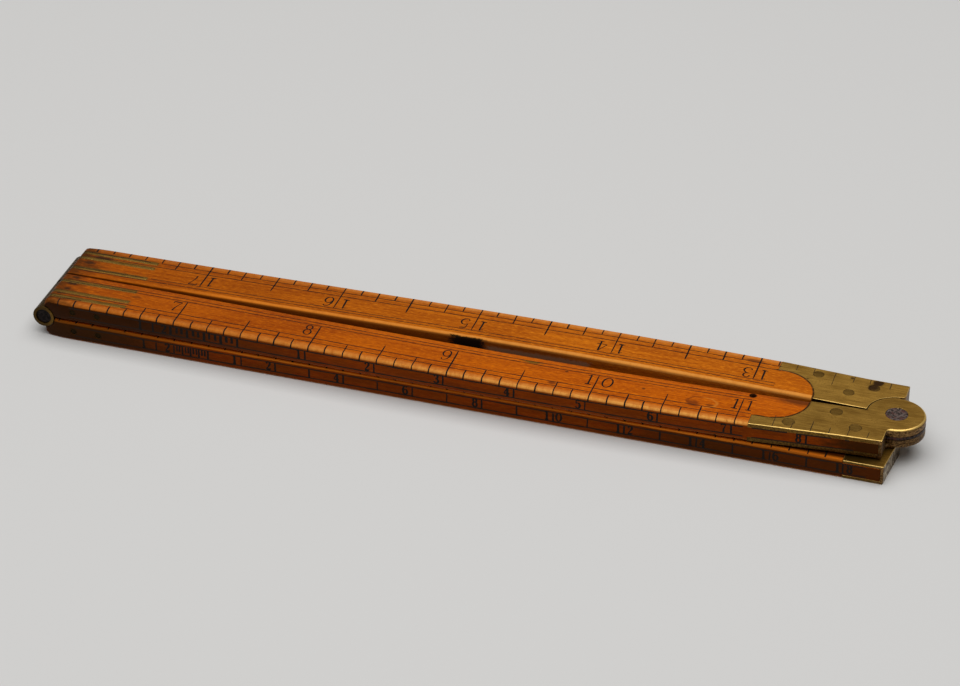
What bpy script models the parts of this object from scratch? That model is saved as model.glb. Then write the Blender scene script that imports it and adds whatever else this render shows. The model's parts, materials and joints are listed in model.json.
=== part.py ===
"""Fourfold two-foot boxwood rule with an arch joint, folded shut.

Metres, +Z up. The rule lies along X with its rule joint at +X and its folding hinges at -X. Two legs lie on
top (the inner legs, joined by the rule joint) and two lie under them (the outer legs, each hung from an inner
leg by a folding hinge). "Near" is the -Y half and "far" is the +Y half. The origin is at the middle of the
rule's length, on the surface that the rule lies on.

Along a leg, x is measured from the rule joint's axis and v from the centre line outwards.
"""

from dataclasses import dataclass
from math import acos, asin, atan2, cos, pi, radians, sin, sqrt

import bmesh
import bpy
from mathutils import Matrix, Vector

MM = 0.001
INCH = 25.4 * MM

# Legs
FOLD_LENGTH = 6 * INCH  # folding hinge axis to rule joint axis
LEG_WIDTH = 9.5 * MM
LEG_THICKNESS = 3.5 * MM
LEG_GAP = 0.4 * MM  # between the two legs of a layer, at their ends
LAYER_GAP = 0.45 * MM  # between an inner leg and the outer leg folded under it
INNER_LEG_BOW = 1.15 * MM  # how far an inner leg has bowed outwards
BOW_SKEW = 1.55  # above 1, the bow is fullest towards the rule joint
BOW_END = -6.5 * MM  # where the bow has run out, short of the joint's disc
OUTER_LEG_SPLAY = 0.85 * MM  # how far an outer leg's tip stands out from its hinge
NEAR_HEAD_TAPER = 0.95 * MM  # width that an inner leg loses along its arch plate
FAR_HEAD_TAPER = 0.6 * MM
WORN_CORNER = 0.5 * MM  # width lost at the worn corner beside the folding hinge
WORN_LENGTH = 5.0 * MM
NEAR_LEG_ROUND = 0.7 * MM  # outer long edge of an inner leg's graduated face
FAR_LEG_ROUND = 0.3 * MM
OUTER_LEG_ROUND = 0.3 * MM  # the same edge of an outer leg
MEETING_EDGE_ROUND = 0.55 * MM  # long edge of the graduated face beside the other leg
MEETING_END_ROUND = 0.15 * MM  # the same edge at the folding hinge, where it is worn less
MEETING_ROUND_RUN = 40.0 * MM  # from the hinge to where that edge is fully worn
BACK_ROUND = 0.35 * MM  # long edges of the face that is hidden when folded
HINGE_END_ROUND = 1.0 * MM
HINGE_END_GAP = 0.2 * MM  # from a leg's end to the plane of the hinge axis

# Arch joint
PLATE_LENGTH = 22.6 * MM  # from the leg's shoulder
PLATE_THICKNESS = 0.75 * MM
HORN_LENGTH = 1.5 * MM  # straight end of a plate beside its arch, before the shoulder's shift
HORN_WIDTH = 2.3 * MM
ARCH_V = 0.9 * MM  # centre of the arch
SHOULDER = 0.6 * MM  # the near shoulder stands this far back from the joint axis, the far one past it
DISC_RADIUS = 5.0 * MM
DISC_FILLET = 0.9 * MM  # between a disc and its leg's shoulder
MIDDLE_LEAF_THICKNESS = 0.5 * MM
TANG_PAST_RIVET = 3.4 * MM  # how far the tang runs on past the middle rivet
TANG_MARGIN = 0.3 * MM  # wood left beside the tang
JOINT_PIN_RADIUS = 1.9 * MM
END_BLOCK_LENGTH = 0.6 * MM
NEAR_RIVET_RADIUS = 1.0 * MM
FAR_RIVET_RADIUS = 0.88 * MM
# Beside the arch, midway from arch to disc, beside the disc: along the leg from there, and in from an edge
NEAR_RIVETS = ((4.3 * MM, 2.05 * MM), (0.0 * MM, 2.05 * MM), (-5.8 * MM, 2.8 * MM))
FAR_RIVETS = ((6.0 * MM, 1.8 * MM), (0.75 * MM, 3.75 * MM), (-5.2 * MM, 2.65 * MM))

# Folding hinges
KNUCKLE_RADIUS = 2.0 * MM
HINGE_PIN_RADIUS = 1.4 * MM
HINGE_PIN_RECESS = 0.25 * MM  # how far the pin stays inside each end of the barrel
LEAF_LENGTH = 15.2 * MM
LEAF_THICKNESS = 0.7 * MM
LEAF_SHOULDER = 0.04 * MM  # how far a knuckle stands past the side of its leaf
INNER_LEAF_INSET = 2.2 * MM  # first leaf's middle, inside the leg's inner edge
OUTER_LEAF_INSET = 2.0 * MM  # last leaf's middle, inside the leg's outer edge
BARREL_INSET = 0.2 * MM  # barrel end, inside the leg's edge
FAR_BARREL_INSET = 0.8 * MM  # the far barrel's outer end, where the leg's corner is worn away
CROSS_PIN_RADIUS = 0.55 * MM
CROSS_PIN_INSET = 0.08 * MM
CROSS_PIN_PLACES = (5.8 * MM, 10.5 * MM)  # from the hinge axis

# Tips and closing pin
TIP_LENGTH = 7.0 * MM
TIP_SHEET = 0.55 * MM
TIP_OVERRUN = 0.25 * MM  # the near tip reaches this far past the joint axis, the far one stays this far back
TIP_GAP = 0.1 * MM  # between the two tips when only the rule joint is open
TIP_SKEW = 1.0 * MM  # how far one corner of a tip's end reaches past the other
TIP_PIN_RADIUS = 0.45 * MM
TIP_PIN_SHARES = (0.28, 0.72)  # across the leg
CLOSING_PIN_RADIUS = 0.4 * MM
CLOSING_PIN_X = -24.4 * MM
CLOSING_PIN_V = 1.8 * MM
CLOSING_PIN_ROOT = 1.8 * MM
CLOSING_PIN_REACH = 2.0 * MM
CLOSING_HOLE_CLEARANCE = 0.2 * MM

# Clearances
FIT = 0.04 * MM  # between pieces that are let into or pinned to each other
RUN = 0.1 * MM  # between faces that slide on each other
DISC_CLEARANCE = 0.2 * MM  # round the discs of the rule joint and between its shoulders
KNUCKLE_CLEARANCE = 0.2 * MM  # round the barrel of a folding hinge

# Steps along curves
DISC_STEPS = 48
ARCH_STEPS = 10
FILLET_STEPS = 5
KNUCKLE_STEPS = 24
PIN_STEPS = 16
ROUND_STEPS = 3
LEG_STEPS = 10
HEAD_STEPS = 3
CUTTER_SPARE = 2.0 * MM  # how far a cutter runs past what it cuts
SHARP_ANGLE = radians(35)

# Heights and places worked out from the sizes above
HINGE_X = -FOLD_LENGTH
HINGE_Z = LEG_THICKNESS + LAYER_GAP / 2
INNER_LOW = LEG_THICKNESS + LAYER_GAP
INNER_HIGH = INNER_LOW + LEG_THICKNESS
ARCH_X = HORN_LENGTH - PLATE_LENGTH - DISC_CLEARANCE / 2
ARCH_RADIUS = LEG_GAP / 2 + LEG_WIDTH - HORN_WIDTH - ARCH_V
ARCH_CROWN = ARCH_X + ARCH_RADIUS
DISC_THICKNESS = (LEG_THICKNESS - MIDDLE_LEAF_THICKNESS) / 2 - RUN
DISC_HOLLOW = DISC_RADIUS + DISC_CLEARANCE
KNUCKLE_HOLLOW = KNUCKLE_RADIUS + KNUCKLE_CLEARANCE
LEAF_PITCH = LEAF_THICKNESS + 2 * LEAF_SHOULDER + RUN
PIVOT = Vector(((FOLD_LENGTH + KNUCKLE_RADIUS - DISC_RADIUS) / 2, 0, 0))


@dataclass
class Leg:
    """One of the four legs. Depth runs from the graduated face into the wood."""

    name: str
    side: int  # -1 near, +1 far
    inner: bool  # one of the two legs that the rule joint joins
    body: bpy.types.Object

    @property
    def near(self):
        return self.side < 0

    @property
    def end(self):
        """Where the leg's brass ends: at a shoulder of the rule joint, or at the shorter corner of a tip."""
        if self.inner:
            return self.side * SHOULDER - DISC_CLEARANCE / 2
        return -self.side * TIP_OVERRUN - TIP_GAP / 2 - (0 if self.near else TIP_SKEW)

    @property
    def head_taper(self):
        return NEAR_HEAD_TAPER if self.near else FAR_HEAD_TAPER

    @property
    def outer_round(self):
        if self.inner:
            return NEAR_LEG_ROUND if self.near else FAR_LEG_ROUND
        return OUTER_LEG_ROUND

    @property
    def rivet_radius(self):
        return NEAR_RIVET_RADIUS if self.near else FAR_RIVET_RADIUS

    @property
    def wood_end(self):
        return self.end - (END_BLOCK_LENGTH if self.inner else TIP_SHEET) - FIT

    @property
    def plate_start(self):
        return self.end - PLATE_LENGTH

    @property
    def rivet_places(self):
        """One rivet beside the arch, one between arch and disc, one beside the disc."""
        horn, middle, head = NEAR_RIVETS if self.near else FAR_RIVETS
        horn_x = ARCH_X + horn[0]
        middle_x = (ARCH_CROWN - DISC_RADIUS) / 2 + middle[0]
        head_x = head[0]
        return (
            (horn_x, self.edges(horn_x)[1] - horn[1]),
            (middle_x, self.edges(middle_x)[0] + middle[1]),
            (head_x, self.edges(head_x)[1] - head[1]),
        )

    def height(self, depth):
        return INNER_HIGH - depth if self.inner else depth

    def heights(self, spare=0.0):
        low = INNER_LOW if self.inner else 0
        return low - spare, low + LEG_THICKNESS + spare

    def edges(self, x):
        """The leg's inner and outer edge, as distances from the centre line."""
        worn = max(0, 1 - (x - HINGE_X) / WORN_LENGTH)
        narrowing = WORN_CORNER * min(1, worn) ** 2
        if self.inner:
            along = min(1, max(0, (x - HINGE_X) / (BOW_END - HINGE_X)))
            shift = INNER_LEG_BOW * sin(pi * along**BOW_SKEW)
            narrowing += self.head_taper * max(0, (x - self.plate_start) / PLATE_LENGTH)
        else:
            shift = OUTER_LEG_SPLAY * max(0, 1 - x / HINGE_X)
        inner = LEG_GAP / 2 + shift
        return inner, inner + LEG_WIDTH - narrowing

    @property
    def barrel(self):
        """The ends of the folding hinge's barrel, as distances from the centre line."""
        outer_inset = BARREL_INSET if self.near else FAR_BARREL_INSET
        return LEG_GAP / 2 + BARREL_INSET, LEG_GAP / 2 + LEG_WIDTH - outer_inset

    def across(self, x):
        """A range of v that runs past both edges."""
        inner, outer = self.edges(x)
        return inner - CUTTER_SPARE, outer + CUTTER_SPARE

    def point(self, x, v, z):
        return Vector((x, self.side * v, z))


# Scene


def clear_scene():
    for old in list(bpy.data.objects):
        bpy.data.objects.remove(old)


def axis_empty(name, place, parent=None):
    """An empty on a joint's axis, which carries the pieces that turn about it."""
    empty = bpy.data.objects.new(name, None)
    empty.empty_display_size = DISC_RADIUS
    bpy.context.scene.collection.objects.link(empty)
    empty.parent = parent
    empty.location = place
    bpy.context.view_layer.update()
    return empty


def material(name, colour, roughness, metallic):
    made = bpy.data.materials.new(name)
    made.use_nodes = True
    shader = made.node_tree.nodes["Principled BSDF"]
    shader.inputs["Base Color"].default_value = (*colour, 1)
    shader.inputs["Roughness"].default_value = roughness
    shader.inputs["Metallic"].default_value = metallic
    made.diffuse_color = (*colour, 1)
    return made


# Shapes, as temporary objects in the frame of the rule joint


def arc(centre, radius, start, end, steps):
    angles = spaced(start, end, steps)
    return [(centre[0] + radius * cos(a), centre[1] + radius * sin(a)) for a in angles]


def spaced(start, end, steps):
    return [start + (end - start) * i / steps for i in range(steps + 1)]


def loft(loops):
    """A closed solid through loops of points that all have the same count."""
    edit = bmesh.new()
    rings = [[edit.verts.new(point) for point in loop] for loop in loops]
    for ring, following in zip(rings, rings[1:]):
        for i in range(len(ring)):
            edit.faces.new((ring[i - 1], ring[i], following[i], following[i - 1]))
    edit.faces.new(rings[0])
    edit.faces.new(rings[-1])
    bmesh.ops.recalc_face_normals(edit, faces=edit.faces)
    mesh = bpy.data.meshes.new("shape")
    edit.to_mesh(mesh)
    edit.free()
    made = bpy.data.objects.new("shape", mesh)
    bpy.context.scene.collection.objects.link(made)
    return made


def prism(leg, outline, low, high):
    """An outline of (x, v) points on a leg's side, raised from low to high."""
    return loft([[leg.point(x, v, z) for x, v in outline] for z in (low, high)])


def box(leg, x_range, v_range, z_range):
    (x0, x1), (v0, v1) = x_range, v_range
    return prism(leg, ((x0, v0), (x1, v0), (x1, v1), (x0, v1)), *z_range)


def upright(leg, place, radius, low, high, steps=PIN_STEPS):
    """A round bar along Z."""
    return prism(leg, arc(place, radius, 0, 2 * pi, steps)[:-1], low, high)


def crossways(leg, x, z, radius, v_range, steps=PIN_STEPS):
    """A round bar along Y."""
    ring = arc((x, z), radius, 0, 2 * pi, steps)[:-1]
    return loft([[leg.point(a, v, b) for a, b in ring] for v in v_range])


def combine(target, operation, others):
    """Applies one Boolean for each of the other shapes, and removes them."""
    for other in others:
        modifier = target.modifiers.new(operation.lower(), "BOOLEAN")
        modifier.operation = operation
        modifier.solver = "EXACT"
        modifier.object = other
    evaluated = target.evaluated_get(bpy.context.evaluated_depsgraph_get())
    mesh = bpy.data.meshes.new_from_object(evaluated)
    target.modifiers.clear()
    target.data = mesh
    for other in others:
        bpy.data.objects.remove(other)
    return target


def cut(target, *cutters):
    return combine(target, "DIFFERENCE", cutters)


def join(target, *others):
    return combine(target, "UNION", others)


def finish(shape, name, body, finish_material):
    """Names a shape, hangs it on its body's empty and gives it its material."""
    shape.name = name
    shape.data.name = name
    shape.data.transform(Matrix.Translation(PIVOT - body.matrix_world.translation))
    shape.parent = body
    shape.data.materials.clear()
    shape.data.materials.append(finish_material)
    shape.data.shade_smooth()
    shape.data.set_sharp_from_angle(angle=SHARP_ANGLE)


# Wood


def leg_section(leg, x, face_depth):
    """The rounded cross-section of a leg at x, as points in space."""
    inner, outer = leg.edges(x)
    worn = min(1, (x - HINGE_X) / MEETING_ROUND_RUN)
    meeting_round = MEETING_END_ROUND + (MEETING_EDGE_ROUND - MEETING_END_ROUND) * worn
    corners = (
        (outer, face_depth, leg.outer_round, -1, 1, 3 * pi / 2),
        (outer, LEG_THICKNESS, BACK_ROUND, -1, -1, 0),
        (inner, LEG_THICKNESS, BACK_ROUND, 1, -1, pi / 2),
        (inner, face_depth, meeting_round, 1, 1, pi),
    )
    loop = []
    for v, depth, radius, inwards, deeper, start in corners:
        centre = (v + inwards * radius, depth + deeper * radius)
        loop += arc(centre, radius, start, start + pi / 2, ROUND_STEPS)
    return [leg.point(x, v, leg.height(depth)) for v, depth in loop]


def leg_blank(leg):
    """The bare wood, rounded along its edges and over its hinge end."""
    hinge_end = HINGE_X + HINGE_END_GAP
    sections = []
    for turn in spaced(0, pi / 2, ROUND_STEPS):
        drop = HINGE_END_ROUND * (1 - sin(turn))
        sections.append((hinge_end + HINGE_END_ROUND * (1 - cos(turn)), drop))
    stops = (hinge_end + HINGE_END_ROUND, HINGE_X + WORN_LENGTH, leg.plate_start, leg.wood_end)
    for start, end, steps in zip(stops, stops[1:], (HEAD_STEPS, LEG_STEPS, HEAD_STEPS)):
        sections += [(x, 0) for x in spaced(start, end, steps)[1:]]
    return loft([leg_section(leg, x, drop) for x, drop in sections])


def hinge_cuts(leg):
    """Cutters for the barrel, the leaves and the cross pins."""
    barrel = crossways(leg, HINGE_X, HINGE_Z, KNUCKLE_HOLLOW, leg.across(HINGE_X), KNUCKLE_STEPS)
    cutters = [barrel]
    slot = (HINGE_X - CUTTER_SPARE, HINGE_X + LEAF_LENGTH + FIT)
    half = LEAF_THICKNESS / 2 + FIT
    for v in leaf_places(leg):
        cutters.append(box(leg, slot, (v - half, v + half), leg.heights(CUTTER_SPARE)))
    return cutters + cross_pin_bores(leg)


def arch_pocket(leg):
    """The outline of the wood that an arch plate displaces."""
    v_low, v_high = leg.across(leg.plate_start)
    head = DISC_RADIUS + CUTTER_SPARE
    start = leg.plate_start - FIT
    curve = arc((ARCH_X, ARCH_V), ARCH_RADIUS, pi / 2, 0, ARCH_STEPS)
    horn = [(start, v_high), (start, ARCH_V + ARCH_RADIUS)]
    return [*horn, *curve, (ARCH_CROWN, v_low), (head, v_low), (head, v_high)]


def head_cuts(leg):
    """Cutters for the arch plates, the joint discs and the rivets of an inner leg."""
    pocket = arch_pocket(leg)
    low, high = leg.heights()
    depth = PLATE_THICKNESS + FIT
    return [
        prism(leg, pocket, high - depth, high + CUTTER_SPARE),
        prism(leg, pocket, low - CUTTER_SPARE, low + depth),
        upright(leg, (0, 0), DISC_HOLLOW, *leg.heights(CUTTER_SPARE), DISC_STEPS),
        *rivet_bores(leg),
    ]


def tip_cuts(leg):
    """Cutters for the sheet and the pins of an outer leg's tip."""
    low, high = leg.heights()
    along = (leg.end - TIP_LENGTH - FIT, CUTTER_SPARE)
    across = leg.across(leg.end)
    depth = TIP_SHEET + FIT
    return [
        box(leg, along, across, (high - depth, high + CUTTER_SPARE)),
        box(leg, along, across, (low - CUTTER_SPARE, low + depth)),
        *tip_pin_bores(leg),
    ]


# Arch joint


def outer_edge(leg):
    return [(x, leg.edges(x)[1]) for x in spaced(leg.plate_start, leg.end, HEAD_STEPS)]


def arch_side(leg, reach):
    """A plate's edge from the joint along the leg's inner edge and round the arch to the plate's horn."""
    radius = ARCH_RADIUS + FIT
    inner = [(x, leg.edges(x)[0]) for x in spaced(-reach, ARCH_X + radius, HEAD_STEPS)[1:]]
    curve = arc((ARCH_X, ARCH_V), radius, 0, pi / 2, ARCH_STEPS)
    return [*inner, *curve, (leg.plate_start, ARCH_V + radius)]


def meeting_angle(leg, radius):
    """The angle at which a circle round the joint axis meets the leg's inner edge."""
    return pi - asin(leg.edges(-radius)[0] / radius)


def fillet_centre():
    """Centre of the fillet between the near leg's disc and its shoulder."""
    x = DISC_FILLET - SHOULDER - DISC_CLEARANCE / 2
    return x, sqrt((DISC_RADIUS + DISC_FILLET) ** 2 - x**2)


def disc_plate_outline(leg):
    """The near leg's plate, which carries a whole disc, with a fillet between disc and shoulder."""
    x, v = fillet_centre()
    fillet = arc((x, v), DISC_FILLET, pi, 2 * pi + atan2(-v, -x), FILLET_STEPS)
    disc = arc((0, 0), DISC_RADIUS, atan2(v, x), meeting_angle(leg, DISC_RADIUS) - 2 * pi, DISC_STEPS)
    return [*outer_edge(leg), *fillet, *disc[1:], *arch_side(leg, DISC_RADIUS)]


def hollow_plate_outline(leg):
    """The far leg's plate, hollowed to clear the disc, with a corner that clears the fillet when open."""
    x, v = fillet_centre()
    towards_disc = atan2(-v, x)
    corner = arc((-x, v), DISC_FILLET - DISC_CLEARANCE, 0, towards_disc, FILLET_STEPS)
    hollow = arc((0, 0), DISC_HOLLOW, atan2(v, -x), meeting_angle(leg, DISC_HOLLOW), ARCH_STEPS)
    return [*outer_edge(leg), *corner, *hollow[1:], *arch_side(leg, DISC_HOLLOW)]


def arch_plates(leg, brass):
    """The two plates of one leg, on its graduated face and on its back."""
    low, high = leg.heights()
    outline = disc_plate_outline(leg) if leg.near else hollow_plate_outline(leg)
    for label, face, inwards in (("top", high, -1), ("bottom", low, 1)):
        plate = prism(leg, outline, face, face + inwards * PLATE_THICKNESS)
        bores = rivet_bores(leg)
        if leg.near:
            seat = face + inwards * PLATE_THICKNESS / 2
            reach = face + inwards * DISC_THICKNESS
            plate = join(plate, upright(leg, (0, 0), DISC_RADIUS - FIT, seat, reach, DISC_STEPS))
            bores.append(joint_bore(leg, FIT))
        finish(cut(plate, *bores), f"{leg.name}_{label}_arch_plate", leg.body, brass)


def joint_bore(leg, clearance):
    return upright(leg, (0, 0), JOINT_PIN_RADIUS + clearance, *leg.heights(CUTTER_SPARE), DISC_STEPS)


def joint_pin(leg, steel):
    pin = upright(leg, (0, 0), JOINT_PIN_RADIUS, *leg.heights(), DISC_STEPS)
    finish(pin, "rule_joint_pin", leg.body, steel)


def end_block(leg, brass):
    """The brass that closes the wood's end between the two plates."""
    low, high = leg.heights()
    depth = PLATE_THICKNESS + FIT
    x_range = (leg.end - END_BLOCK_LENGTH, leg.end)
    v_range = (DISC_HOLLOW, leg.edges(leg.end)[1])
    block = box(leg, x_range, v_range, (low + depth, high - depth))
    finish(block, f"{leg.name}_end_block", leg.body, brass)


def tang_outline(leg, spare):
    """The middle leaf's disc and the tang that is let into the leg, grown by spare."""
    radius = DISC_RADIUS + spare
    inner = leg.edges(-radius)[0] + TANG_MARGIN - spare
    head = leg.wood_end - TANG_MARGIN + spare
    tail = leg.rivet_places[1][0] - TANG_PAST_RIVET - spare
    disc = arc((0, 0), radius, pi - asin(inner / radius), 2 * pi + acos(head / radius), DISC_STEPS)
    outer = [(x, leg.edges(x)[1] - TANG_MARGIN + spare) for x in (head, tail)]
    return [(tail, inner), *disc, *outer]


def middle_leaf_heights(spare):
    middle = (INNER_LOW + INNER_HIGH) / 2
    half = MIDDLE_LEAF_THICKNESS / 2 + spare
    return middle - half, middle + half


def middle_leaf(leg, steel):
    """The thin steel leaf of the far leg that turns between the two discs of the near leg."""
    leaf = prism(leg, tang_outline(leg, 0), *middle_leaf_heights(0))
    leaf = cut(leaf, joint_bore(leg, RUN), *rivet_bores(leg))
    finish(leaf, "rule_joint_middle_leaf", leg.body, steel)


def rivet_bores(leg):
    reach = leg.heights(CUTTER_SPARE)
    return [upright(leg, place, leg.rivet_radius + FIT, *reach) for place in leg.rivet_places]


def rivets(leg, brass):
    for number, place in enumerate(leg.rivet_places, 1):
        rivet = upright(leg, place, leg.rivet_radius, *leg.heights())
        finish(rivet, f"{leg.name}_rivet_{number}", leg.body, brass)


# Folding hinges


def leaf_places(leg):
    """The three leaves of an inner leg, or the two of an outer leg that lie between them."""
    first = LEG_GAP / 2 + INNER_LEAF_INSET
    third = LEG_GAP / 2 + LEG_WIDTH - OUTER_LEAF_INSET
    second = third - 2 * LEAF_PITCH
    if leg.inner:
        return first, second, third
    return (first + second) / 2, (second + third) / 2


def knuckle_spans(barrel, places, neighbours):
    """The stretch of barrel that each leaf carries, up to halfway to the next leaf of the other leg."""
    for place in places:
        below = [other for other in neighbours if other < place]
        above = [other for other in neighbours if other > place]
        start = (max(below) + place + RUN) / 2 if below else barrel[0]
        end = (min(above) + place - RUN) / 2 if above else barrel[1]
        yield start, end


def leaf_side(leg):
    """A leaf's flat part seen from the side, as (x, z) points that follow the leg's rounded end."""
    x_end = HINGE_X + HINGE_END_GAP
    curve = arc((x_end + HINGE_END_ROUND, HINGE_END_ROUND), HINGE_END_ROUND, pi, 3 * pi / 2, ROUND_STEPS)
    tail = HINGE_X + LEAF_LENGTH
    depths = [*curve, (tail, 0), (tail, LEG_THICKNESS), (x_end, LEG_THICKNESS)]
    return [(x, leg.height(depth)) for x, depth in depths]


def hinge_leaves(leg, other_places, brass):
    """Upright brass leaves let into saw cuts in the wood, each with its knuckle."""
    places = leaf_places(leg)
    bore = HINGE_PIN_RADIUS + (FIT if leg.inner else RUN)
    half = LEAF_THICKNESS / 2
    for number, (v, span) in enumerate(zip(places, knuckle_spans(leg.barrel, places, other_places)), 1):
        leaf = loft([[leg.point(x, side, z) for x, z in leaf_side(leg)] for side in (v - half, v + half)])
        leaf = join(leaf, crossways(leg, HINGE_X, HINGE_Z, KNUCKLE_RADIUS, span, KNUCKLE_STEPS))
        pin_bore = crossways(leg, HINGE_X, HINGE_Z, bore, leg.across(HINGE_X))
        leaf = cut(leaf, pin_bore, *cross_pin_bores(leg))
        finish(leaf, f"{leg.name}_hinge_leaf_{number}", leg.body, brass)


def hinge_pin(leg, steel):
    start, end = leg.barrel
    ends = (start + HINGE_PIN_RECESS, end - HINGE_PIN_RECESS)
    pin = crossways(leg, HINGE_X, HINGE_Z, HINGE_PIN_RADIUS, ends)
    finish(pin, f"{leg.name}_hinge_pin", leg.body, steel)


def cross_pin_bores(leg):
    middle = leg.height(LEG_THICKNESS / 2)
    places = [HINGE_X + place for place in CROSS_PIN_PLACES]
    return [crossways(leg, x, middle, CROSS_PIN_RADIUS + FIT, leg.across(x)) for x in places]


def cross_pins(leg, brass):
    middle = leg.height(LEG_THICKNESS / 2)
    for number, place in enumerate(CROSS_PIN_PLACES, 1):
        x = HINGE_X + place
        inner, outer = leg.edges(x)
        pin = crossways(leg, x, middle, CROSS_PIN_RADIUS, (inner + CROSS_PIN_INSET, outer - CROSS_PIN_INSET))
        finish(pin, f"{leg.name}_cross_pin_{number}", leg.body, brass)


# Tips and closing pin


def tip_pin_places(leg):
    x = leg.end - TIP_LENGTH / 2
    inner, outer = leg.edges(x)
    return [(x, inner + share * (outer - inner)) for share in TIP_PIN_SHARES]


def tip_pin_bores(leg):
    reach = leg.heights(CUTTER_SPARE)
    return [upright(leg, place, TIP_PIN_RADIUS + FIT, *reach) for place in tip_pin_places(leg)]


def tip(leg, brass):
    """A brass strip bent round the end of an outer leg, filed out of square, and its two pins."""
    low, high = leg.heights()
    start = leg.end - TIP_LENGTH
    inner, outer = zip(leg.edges(start), leg.edges(leg.end))
    inner_end = leg.end + (TIP_SKEW if leg.near else 0)
    outer_end = leg.end + (0 if leg.near else TIP_SKEW)
    outline = [(start, inner[0]), (inner_end, inner[1]), (outer_end, outer[1]), (start, outer[0])]
    inside_x = (start - CUTTER_SPARE, leg.end - TIP_SHEET)
    inside = box(leg, inside_x, leg.across(leg.end), (low + TIP_SHEET, high - TIP_SHEET))
    cap = cut(prism(leg, outline, low, high), inside, *tip_pin_bores(leg))
    finish(cap, f"{leg.name}_tip_cap", leg.body, brass)
    for number, place in enumerate(tip_pin_places(leg), 1):
        pin = upright(leg, place, TIP_PIN_RADIUS, low, high)
        finish(pin, f"{leg.name}_tip_pin_{number}", leg.body, brass)


def closing_pin(leg, brass):
    """The pin on an outer leg that drops into a hole in the leg above and keeps the two in line."""
    low = LEG_THICKNESS - CLOSING_PIN_ROOT
    high = INNER_LOW + CLOSING_PIN_REACH
    pin = upright(leg, (CLOSING_PIN_X, CLOSING_PIN_V), CLOSING_PIN_RADIUS, low, high)
    finish(pin, "closing_pin", leg.body, brass)


def closing_bore(leg):
    """The closing pin's hole: right through the inner leg, blind in the outer leg that holds the pin."""
    place = (CLOSING_PIN_X, CLOSING_PIN_V)
    if leg.inner:
        radius = CLOSING_PIN_RADIUS + CLOSING_HOLE_CLEARANCE
        return upright(leg, place, radius, *leg.heights(CUTTER_SPARE))
    low = LEG_THICKNESS - CLOSING_PIN_ROOT - FIT
    return upright(leg, place, CLOSING_PIN_RADIUS + FIT, low, LEG_THICKNESS + CUTTER_SPARE)


# Assembly


def inner_leg(leg, other_leaves, wood, brass, steel):
    """A leg of the upper layer, with its share of the rule joint and of the folding hinge."""
    cutters = hinge_cuts(leg) + head_cuts(leg)
    if leg.near:
        cutters.append(closing_bore(leg))
        joint_pin(leg, steel)
    else:
        cutters.append(prism(leg, tang_outline(leg, FIT), *middle_leaf_heights(FIT)))
        middle_leaf(leg, steel)
    finish(cut(leg_blank(leg), *cutters), leg.name, leg.body, wood)
    arch_plates(leg, brass)
    end_block(leg, brass)
    rivets(leg, brass)
    hinge_leaves(leg, other_leaves, brass)
    hinge_pin(leg, steel)
    cross_pins(leg, brass)


def outer_leg(leg, other_leaves, wood, brass):
    """A leg of the lower layer, with its share of the folding hinge and its tip."""
    cutters = hinge_cuts(leg) + tip_cuts(leg)
    if leg.near:
        cutters.append(closing_bore(leg))
        closing_pin(leg, brass)
    finish(cut(leg_blank(leg), *cutters), leg.name, leg.body, wood)
    hinge_leaves(leg, other_leaves, brass)
    cross_pins(leg, brass)
    tip(leg, brass)


def main():
    clear_scene()
    wood = material("boxwood", (0.62, 0.24, 0.035), 0.35, 0)
    brass = material("aged_brass", (0.42, 0.29, 0.09), 0.38, 1)
    steel = material("dark_steel", (0.16, 0.14, 0.14), 0.55, 1)
    near_body = axis_empty("near_inner_axis", PIVOT)
    far_body = axis_empty("rule_joint_axis", (0, 0, 0), near_body)
    for side, label, body in ((-1, "near", near_body), (1, "far", far_body)):
        fold_body = axis_empty(f"{label}_fold_axis", (HINGE_X, 0, HINGE_Z), body)
        inner = Leg(f"{label}_inner_leg", side, True, body)
        outer = Leg(f"{label}_outer_leg", side, False, fold_body)
        inner_leg(inner, leaf_places(outer), wood, brass, steel)
        outer_leg(outer, leaf_places(inner), wood, brass)


main()
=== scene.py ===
"""The looks of a folded boxwood rule: materials for its CAD pieces, and its cut and stamped marks."""

import json
from math import ceil, cos, hypot, pi, sin

import bmesh
import bpy
import numpy as np
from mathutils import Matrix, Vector
from mathutils.bvhtree import BVHTree

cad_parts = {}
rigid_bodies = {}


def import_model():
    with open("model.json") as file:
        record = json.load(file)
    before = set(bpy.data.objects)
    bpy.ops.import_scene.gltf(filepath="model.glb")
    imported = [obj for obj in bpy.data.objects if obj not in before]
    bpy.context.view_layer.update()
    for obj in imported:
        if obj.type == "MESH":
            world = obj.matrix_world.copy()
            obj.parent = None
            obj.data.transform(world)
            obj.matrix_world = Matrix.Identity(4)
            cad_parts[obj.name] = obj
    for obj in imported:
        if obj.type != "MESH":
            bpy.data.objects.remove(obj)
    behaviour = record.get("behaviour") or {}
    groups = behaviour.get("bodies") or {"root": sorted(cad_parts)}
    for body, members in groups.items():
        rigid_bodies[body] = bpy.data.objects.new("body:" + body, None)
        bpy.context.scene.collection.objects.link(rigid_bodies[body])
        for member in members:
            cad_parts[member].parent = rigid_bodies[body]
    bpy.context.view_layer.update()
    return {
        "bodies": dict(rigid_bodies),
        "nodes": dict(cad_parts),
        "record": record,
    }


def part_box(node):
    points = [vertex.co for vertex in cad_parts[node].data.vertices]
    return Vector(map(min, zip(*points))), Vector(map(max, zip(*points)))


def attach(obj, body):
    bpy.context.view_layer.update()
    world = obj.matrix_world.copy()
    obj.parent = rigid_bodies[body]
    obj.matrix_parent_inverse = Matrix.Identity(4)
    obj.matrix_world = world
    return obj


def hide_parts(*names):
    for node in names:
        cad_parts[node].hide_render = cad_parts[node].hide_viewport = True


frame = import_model()
nodes = frame["nodes"]
scene = bpy.context.scene
scene.view_settings.view_transform = "Standard"

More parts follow.
